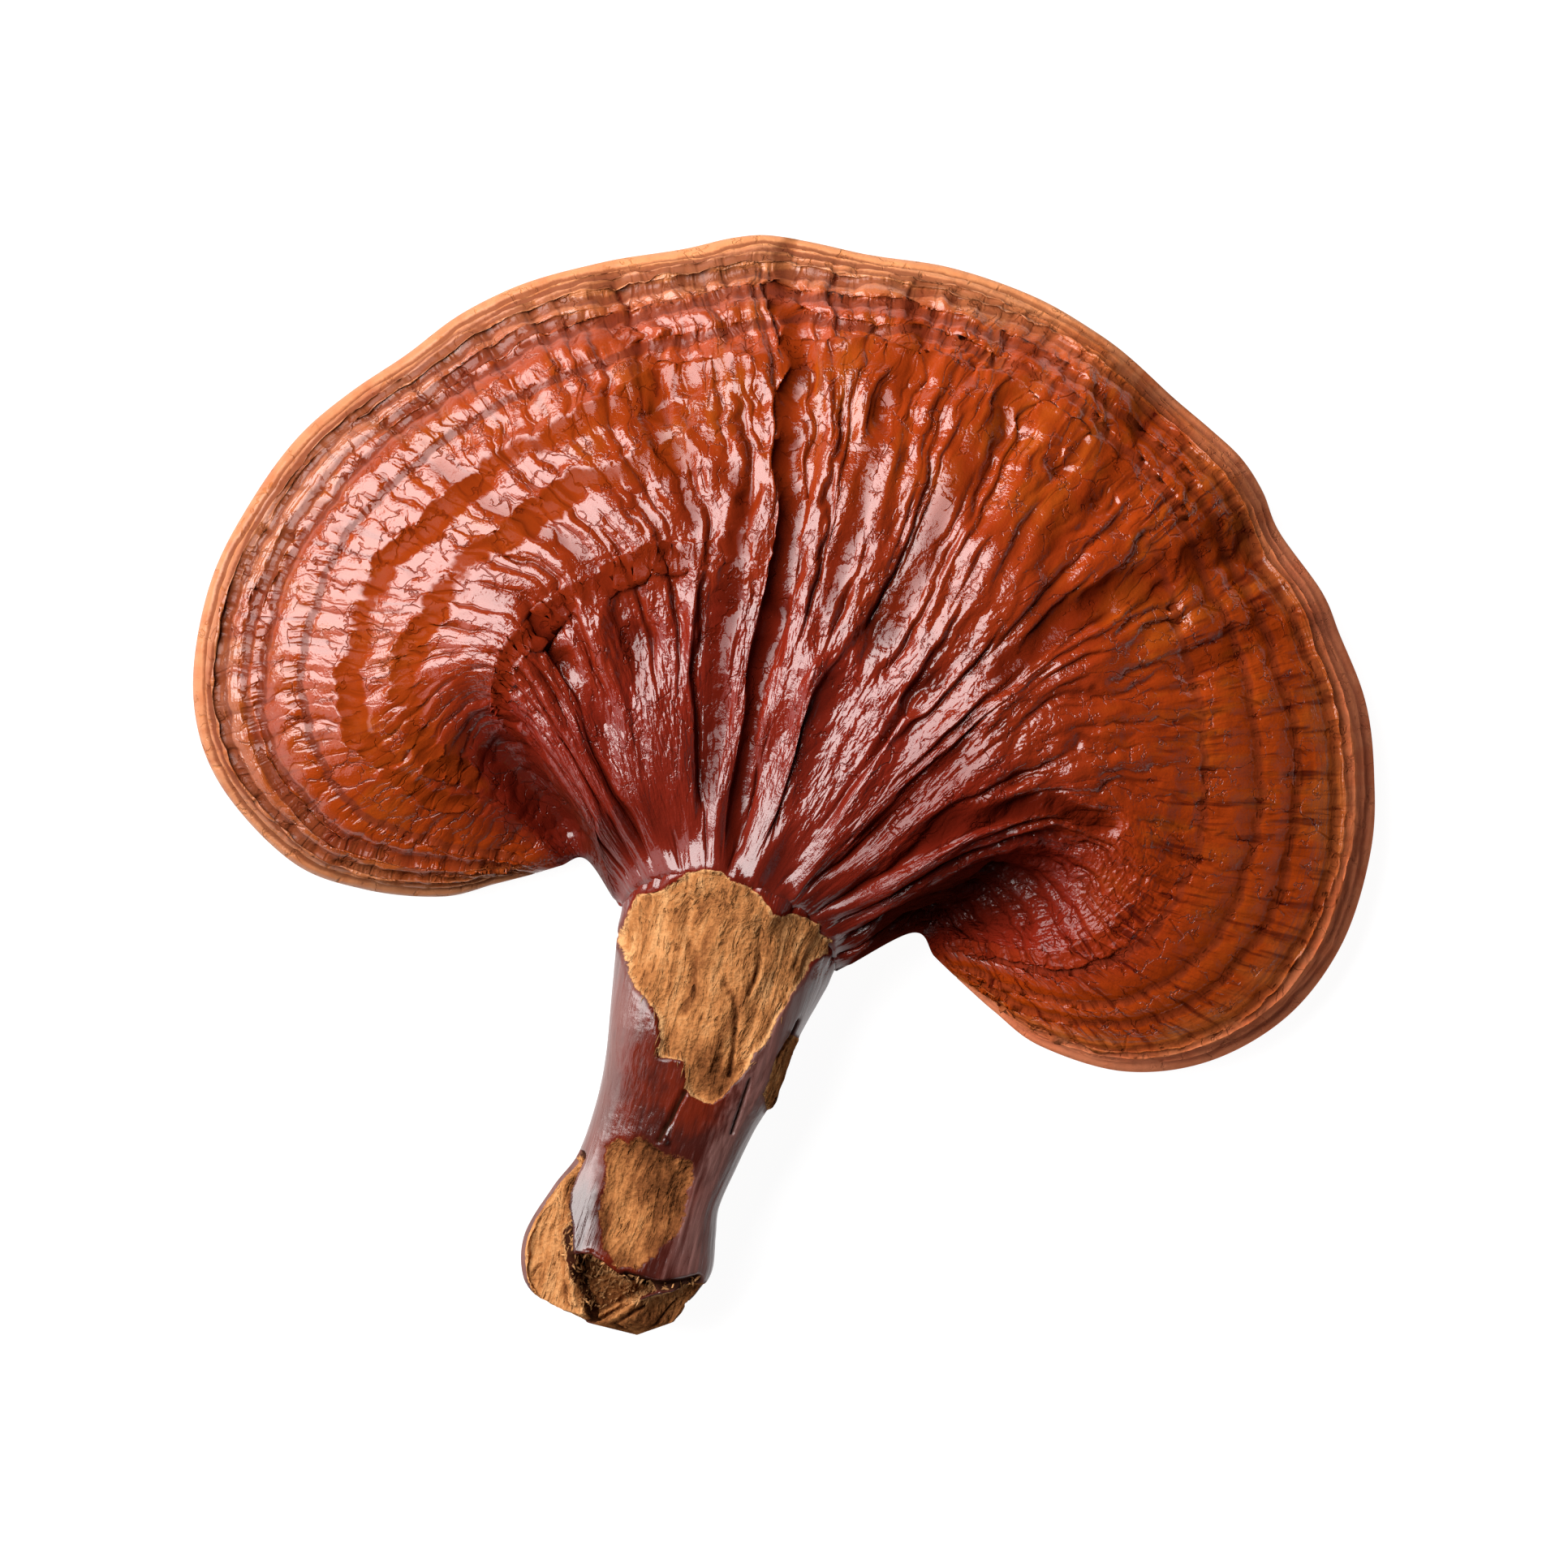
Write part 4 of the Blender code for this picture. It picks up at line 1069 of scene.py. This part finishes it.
# Places where the wood is darker or paler: x, y, radius and change
WOOD_SHADES = (
    (-8.5, -36.0, 6.0, -0.28), (-17.0, -45.0, 4.0, -0.25), (-13.0, -52.0, 5.0, -0.15),
    (-20.0, -57.0, 5.0, 0.10), (-22.0, -62.0, 3.0, 0.20), (-16.5, -64.0, 2.0, 0.25),
    (-13.0, -63.5, 3.0, 0.20), (-16.0, -67.5, 3.5, -0.20), (-32.5, -60.0, 3.0, 0.10),
    (-27.5, -64.0, 2.0, -0.25), (4.0, -20.0, 3.0, 0.08), (-19.5, -20.0, 3.0, 0.06),
)
# Flat breaks of the foot: outline, a point x, y, z, and how its plane climbs along x and y
FOOT_BREAKS = (
    (FOOT_LEFT, (-30.0, -57.0, 12.5), (0.50, 0.05)),
    (FOOT_MIDDLE, (-21.5, -64.0, 13.5), (-0.10, 0.45)),
    (FOOT_RIGHT, (-14.0, -66.0, 14.0), (-0.30, 0.55)),
)
# Torn ridges of the foot: height, half width, how much paler, then x and y along each
FOOT_RIDGES = (
    (0.9, 1.0, 0.45, ((-24.7, -59.0), (-22.8, -60.2), (-21.1, -61.8), (-19.3, -62.7))),
    (0.6, 0.6, 0.35, ((-24.4, -67.0), (-21.1, -65.6), (-18.0, -64.5), (-14.8, -63.7),
                      (-11.6, -62.8))),
    (0.6, 0.5, 0.20, ((-27.5, -59.0), (-27.3, -62.0), (-27.0, -65.6))),
    (0.8, 0.6, 0.40, ((-15.2, -44.3), (-14.8, -44.8))),
)
# Cracks and grooves: depth, half width, then x and y along each
STEM_CRACKS = (
    (0.9, 0.35, ((-28.7, -59.3), (-28.5, -62.5), (-28.2, -65.6))),
    (0.6, 0.40, ((-23.5, -68.6), (-19.5, -66.6), (-17.5, -65.6))),
    (0.5, 0.40, ((-16.6, -69.0), (-14.4, -66.4), (-12.8, -64.8))),
    (0.5, 0.30, ((-31.6, -60.6), (-32.6, -62.0))),
    (1.6, 0.9, ((-25.8, -46.7), (-26.8, -48.8), (-27.7, -51.2), (-27.8, -53.4), (-27.4, -55.7),
                (-27.4, -58.0), (-27.0, -60.1), (-26.4, -62.1), (-25.9, -64.7), (-25.5, -67.2))),
    (1.5, 0.9, ((-19.9, -61.7), (-18.1, -62.2), (-16.7, -62.7), (-14.9, -62.9), (-12.4, -62.5),
                (-10.6, -62.1))),
    (0.8, 0.6, ((-25.5, -59.4), (-23.1, -60.2), (-21.5, -61.3), (-19.8, -62.5))),
    (0.8, 0.45, ((-12.5, -38.5), (-13.2, -39.8), (-14.2, -41.9), (-15.1, -43.3), (-15.7, -44.6))),
    (0.5, 0.35, ((1.9, -29.7), (1.0, -31.7), (-0.6, -34.2))),
    (0.5, 0.35, ((-4.2, -37.0), (-5.2, -40.1), (-6.4, -43.7))),
    (0.5, 0.25, ((-17.0, -20.1), (-15.3, -20.0), (-13.6, -20.5), (-12.3, -20.8), (-11.0, -20.9))),
    (0.7, 0.5, ((-2.8, -18.1), (-2.7, -20.1), (-2.9, -22.6), (-3.4, -24.7), (-4.2, -25.9))),
    (0.6, 0.5, ((-7.5, -24.7), (-6.2, -26.9), (-5.9, -29.0), (-6.2, -32.8), (-6.7, -36.4))),
    (0.5, 1.0, ((-12.3, -14.0), (-12.5, -17.6), (-11.7, -21.6), (-11.5, -25.7), (-12.8, -28.2))),
)


def stem_rings():
    """Points of the stem's rings from the neck to the foot, and the way out of each."""
    keys = [(number, *section) for number, section in enumerate(STEM_SECTIONS)]
    place = (len(keys) - 1) * np.arange(STEM_RINGS) / (STEM_RINGS - 1)
    angle = 2.0 * math.pi * np.arange(STEM_SIDES) / STEM_SIDES
    above = np.maximum(np.sin(angle), 0.0)
    rings, facings = [], []
    for section, at in zip(curve(keys, place), place):
        middle, width, across, inward = ring_frame(section[:2], section[2:4])
        arched = 1.0 - smooth(at / NECK_ARCH_SECTIONS)
        spread = width * (np.cos(angle) + STEM_RIDGE_SHIFT * (1.0 - arched) * above**2)
        along = NECK_ARCH * arched * np.abs(np.sin(angle))
        plan = middle + spread[:, None] * across + along[:, None] * inward
        level = 1.0 - (1.0 - STEM_TOP_FLATNESS) * (1.0 - arched)
        height = np.where(above > 0.0, np.maximum(above, 1e-6) ** level, np.sin(angle))
        rings.append(np.column_stack([plan, section[4] + section[5] * height]))
        out = np.cos(angle)[:, None] / width * across
        out = np.column_stack([out, np.sin(angle) / section[5]])
        facings.append(out / np.linalg.norm(out, axis=-1, keepdims=True))
    return np.array(rings), np.array(facings), angle


rings, facing, ring_angle = stem_rings()
on_top = smooth((facing[..., 2] + 0.1) / 0.3)
distances = np.array([
    crispness * signed_distance(outline, rings) for outline, _, _, crispness in BARE_PLACES
])
nearest_place = np.argmax(distances, axis=0)
tone = np.array([tone for _, tone, _, _ in BARE_PLACES])[nearest_place]
recess = np.array([recess for _, _, recess, _ in BARE_PLACES])[nearest_place]
below_break = FOOT_BREAK_Y - rings[..., 1]
below_break = below_break + 1.5 * np.sin(3.0 * ring_angle) + np.sin(7.0 * ring_angle)
bare = np.where(on_top > 0.0, distances.max(axis=0), below_break)
tone, recess = (
    np.where(on_top > 0.0, above, under)
    for above, under in ((tone, FOOT_UNDER_TONE), (recess, FOOT_UNDER_RECESS))
)
for x, y, radius, change in WOOD_SHADES:
    tone += change * smooth(1.0 - np.hypot(rings[..., 0] - x, rings[..., 1] - y) / radius)
for outline, (x, y, z), (along_x, along_y) in FOOT_BREAKS:
    plane = z + along_x * (rings[..., 0] - x) + along_y * (rings[..., 1] - y)
    inside = smooth((signed_distance(outline, rings) + 0.3) / 0.6) * on_top
    rings[..., 2] += (np.minimum(rings[..., 2], plane) - rings[..., 2]) * inside
for height, half_width, paler, line in FOOT_RIDGES:
    ridge = smooth(1.0 - line_distance(line, rings) / half_width) * on_top
    tone += paler * ridge
    rings[..., 2] += height * ridge
crack = np.zeros(bare.shape)
for depth, half_width, line in STEM_CRACKS:
    cut = depth * smooth(1.0 - line_distance(line, rings) / half_width) * on_top
    crack = np.maximum(crack, cut)

# Fibres stand up along torn edges and on the foot, and crumbs lie in its break and its crack
torn_edge = np.exp(-(((bare - 0.15) / 0.35) ** 2)) * 0.5
torn_foot = smooth((recess - 0.48) / 0.05) * smooth((bare + 0.1) / 0.2) * 0.12
faces_up = smooth((facing[..., 2] - 0.55) / 0.2) * smooth((rings[..., 1] + 66.5) / 1.5)
frayed = faces_up * np.maximum(torn_edge * smooth((recess - 0.25) / 0.2), torn_foot)
crumbly = faces_up * np.maximum(
    smooth((recess - 0.9) / 0.2) * smooth((bare + 0.1) / 0.2),
    smooth((crack - 0.6) / 0.4) * smooth((-50.0 - rings[..., 1]) / 3.0),
)
rings -= facing * crack[..., None]
rings[..., 2] += neck_ridges(rings) * np.maximum(np.sin(ring_angle), 0.0)

neck_middle, _, _, inward = ring_frame(NECK_LEFT, NECK_RIGHT)
neck_middle = np.array([*neck_middle, NECK_HEIGHT])
tucked = neck_middle + (rings[:1] - neck_middle) * STEM_OVERLAP_SHRINK
tucked += STEM_OVERLAP * np.array([*inward, 0.0])
from_neck = (rings - neck_middle)[..., :2] @ np.array(STEM_ALONG)
station = STATIONS * (1.0 - np.abs(((ring_angle + math.pi) % (2.0 * math.pi)) - math.pi) / math.pi)
station = np.broadcast_to(station, from_neck.shape)
growth = np.dstack([station, from_neck * STEM_REACH_PER_MM, np.zeros_like(from_neck)])

stem_mesh = Mesh()
hidden_row = stem_mesh.grid(
    tucked, wrap=True, growth=growth[:1], facing=facing[:1], relief=1.0, bare=bare[:1, :, None],
    tone=tone[:1, :, None], recess=recess[:1, :, None], **UNMARKED,
)
stem_rows = stem_mesh.grid(
    rings, wrap=True, growth=growth, facing=facing, relief=1.0, bare=bare[..., None],
    tone=tone[..., None], recess=recess[..., None], furrow=0.0, fold=crack[..., None], step=0.0,
    line=0.0, frayed=frayed[..., None], crumbly=crumbly[..., None],
)
for first, second, third, fourth in zip(
    hidden_row[0], hidden_row[0][1:] + hidden_row[0][:1],
    stem_rows[0][1:] + stem_rows[0][:1], stem_rows[0],
):
    stem_mesh.shape.faces.new((first, second, third, fourth))
stem_mesh.fan(hidden_row[0], neck_middle + STEM_OVERLAP * np.array([*inward, 0.0]))
stem_mesh.fan(
    stem_rows[-1], FOOT_END, growth=(STATIONS / 2.0, -1.4, 0.0), bare=3.0, tone=FOOT_UNDER_TONE,
    recess=FOOT_UNDER_RECESS,
)
stem = stem_mesh.finish("woody_stem", (crust,))
grow_relief(stem, (crust,), CRUST_RELIEF)
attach(stem, "root")
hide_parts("stem")


# ---- Torn wood ---------------------------------------------------------------
# Where the wood was torn, its fibres stand up as short slivers that lie along the stem, and
# crumbs of it sit in the break and the crack of the foot. Both are part of the wood itself.

TORN_FIBRES = {
    "Pieces per square metre": 1.8e6,
    "Length": 0.9 * MM,
    "Half width": 0.055 * MM,
    "Wobble": 0.45,
    "Lift": 0.12,
}
WOOD_CRUMBS = {
    "Pieces per square metre": 1.5e6,
    "Length": 0.55 * MM,
    "Half width": 0.15 * MM,
    "Wobble": 3.0,
    "Lift": 0.10,
}
FIBRE_TAN = (0.420, 0.210, 0.085, 1.0)
FIBRE_BROWN = (0.160, 0.066, 0.024, 1.0)


def scatter_slivers(host, name, where, material, settings, seed):
    """A piece of bent slivers, thickest at their middles, scattered where the host's mark says."""
    inputs, start, value = open_tree(name, settings)
    mark = start.node("GeometryNodeInputNamedAttribute", {"Name": where}, data_type="FLOAT")
    density = mark * value["Pieces per square metre"]
    points = start.node(
        "GeometryNodeDistributePointsOnFaces", {"Mesh": start, "Density": density, "Seed": seed}
    )
    normal = Wire(start.tree, points.socket.node.outputs["Normal"])
    low, high = (-1.0, -1.0, -1.0), (1.0, 1.0, 1.0)
    wander = start.node(
        "FunctionNodeRandomValue", {0: low, 1: high, "Seed": seed + 1}, data_type="FLOAT_VECTOR"
    )
    way = (*STEM_ALONG, 0.0)
    for turned in (wander.scaled(value["Wobble"]), normal.scaled(value["Lift"])):
        way = start.node("ShaderNodeVectorMath", {0: turned, 1: way}, operation="ADD")
    turn = start.node("FunctionNodeAlignRotationToVector", {"Vector": way}, axis="Z")
    size = start.node(
        "FunctionNodeRandomValue", {2: 0.4, 3: 1.2, "Seed": seed + 2}, output=1, data_type="FLOAT"
    )
    scale = start.node("ShaderNodeCombineXYZ", {
        0: value["Half width"] * size, 1: value["Half width"] * size, 2: value["Length"] * size,
    })
    bow = start.node("GeometryNodeCurveQuadraticBezier", {
        "Resolution": 4, "Start": (0.0, 0.0, -0.5), "Middle": (1.0, 0.5, 0.0),
        "End": (0.0, 0.0, 0.5),
    })
    along = start.node("GeometryNodeSplineParameter")
    thick = 0.15 + (along * (1 - along)) * 3.4
    bow = start.node("GeometryNodeSetCurveRadius", {"Curve": bow, "Radius": thick})
    ring = start.node("GeometryNodeCurvePrimitiveCircle", {"Resolution": 5, "Radius": 1.0})
    sliver = start.node(
        "GeometryNodeCurveToMesh", {"Curve": bow, "Profile Curve": ring, "Fill Caps": True}
    )
    slivers = start.node("GeometryNodeInstanceOnPoints", {
        "Points": points, "Instance": sliver, "Rotation": turn, "Scale": scale,
    })
    whole = start.node("GeometryNodeRealizeInstances", {"Geometry": slivers})
    whole = start.node("GeometryNodeSetMaterial", {"Geometry": whole, "Material": material})
    piece = put_in_scene(name, host.data.copy())
    run_tree(piece, whole, inputs, settings)
    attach(piece, "root")


torn_wood, torn_shader, torn = make_material("torn wood")
spot = torn.node("ShaderNodeTexCoord", output="Object").scaled(1.0 / MM)
x, y, z = spot.parts()
shade = spot.noise(x * 0.7, y * 0.7, z * 0.7, detail=2.0).ease(-0.2, 0.2)
torn.tree.links.new(shade.mix(FIBRE_BROWN, FIBRE_TAN).socket, torn_shader.inputs["Base Color"])
scatter_slivers(stem, "torn_fibres", "frayed", torn_wood, TORN_FIBRES, 11)
scatter_slivers(stem, "wood_crumbs", "crumbly", torn_wood, WOOD_CRUMBS, 23)


# ---- Floor, light and camera -------------------------------------------------
# The mushroom lies on a plain white table under one large soft light to its upper left, with a
# weak one on each side. The camera looks straight down from a metre.

FLOOR_HALF = 2.0
FLOOR_WHITE = (0.15, 0.15, 0.15, 1.0)
FLOOR_GLOW = 0.95
CAMERA_HEIGHT = 1.008
CAMERA_FIELD_AT_A_METRE = 0.1984
SENSOR = 36.0

floor_mesh = bmesh.new()
bmesh.ops.create_grid(floor_mesh, x_segments=1, y_segments=1, size=FLOOR_HALF)
floor_data = bpy.data.meshes.new("floor")
floor_mesh.to_mesh(floor_data)
floor_mesh.free()
floor_material, floor_shader, _ = make_material("white table")
floor_shader.inputs["Base Color"].default_value = FLOOR_WHITE
floor_shader.inputs["Emission Color"].default_value = (1.0, 1.0, 1.0, 1.0)
floor_shader.inputs["Emission Strength"].default_value = FLOOR_GLOW
floor_data.materials.append(floor_material)
put_in_scene("floor", floor_data)


# Square lights that face the mushroom: name, place, size, power and colour
SOFT_LIGHTS = (
    ("key light", (-0.54, 0.33, 0.65), 0.90, 26.4, (1.0, 0.98, 0.97)),
    ("right light", (0.70, -0.20, 0.20), 0.50, 0.2, (1.0, 0.82, 0.86)),
    ("left light", (-0.60, -0.20, 0.25), 0.40, 0.8, (1.0, 0.93, 0.96)),
)
WORLD_BLUE = (0.9, 0.93, 1.0, 1.0)
WORLD_STRENGTH = 0.03

for name, place, size, power, colour in SOFT_LIGHTS:
    light = bpy.data.lights.new(name, "AREA")
    light.size = size
    light.energy = power
    light.color = colour
    lamp = put_in_scene(name, light)
    lamp.location = place
    lamp.rotation_euler = (-Vector(place)).to_track_quat("-Z", "Y").to_euler()

world = bpy.data.worlds.new("studio")
world.use_nodes = True
background = world.node_tree.nodes["Background"]
background.inputs["Color"].default_value = WORLD_BLUE
background.inputs["Strength"].default_value = WORLD_STRENGTH
bpy.context.scene.world = world
bpy.context.scene.view_settings.view_transform = "Standard"

camera_data = bpy.data.cameras.new("camera")
camera_data.sensor_width = SENSOR
camera_data.lens = SENSOR / CAMERA_FIELD_AT_A_METRE
camera_data.clip_start = 0.1
camera = put_in_scene("camera", camera_data)
camera.location = (0.0, 0.0, CAMERA_HEIGHT)
bpy.context.scene.camera = camera
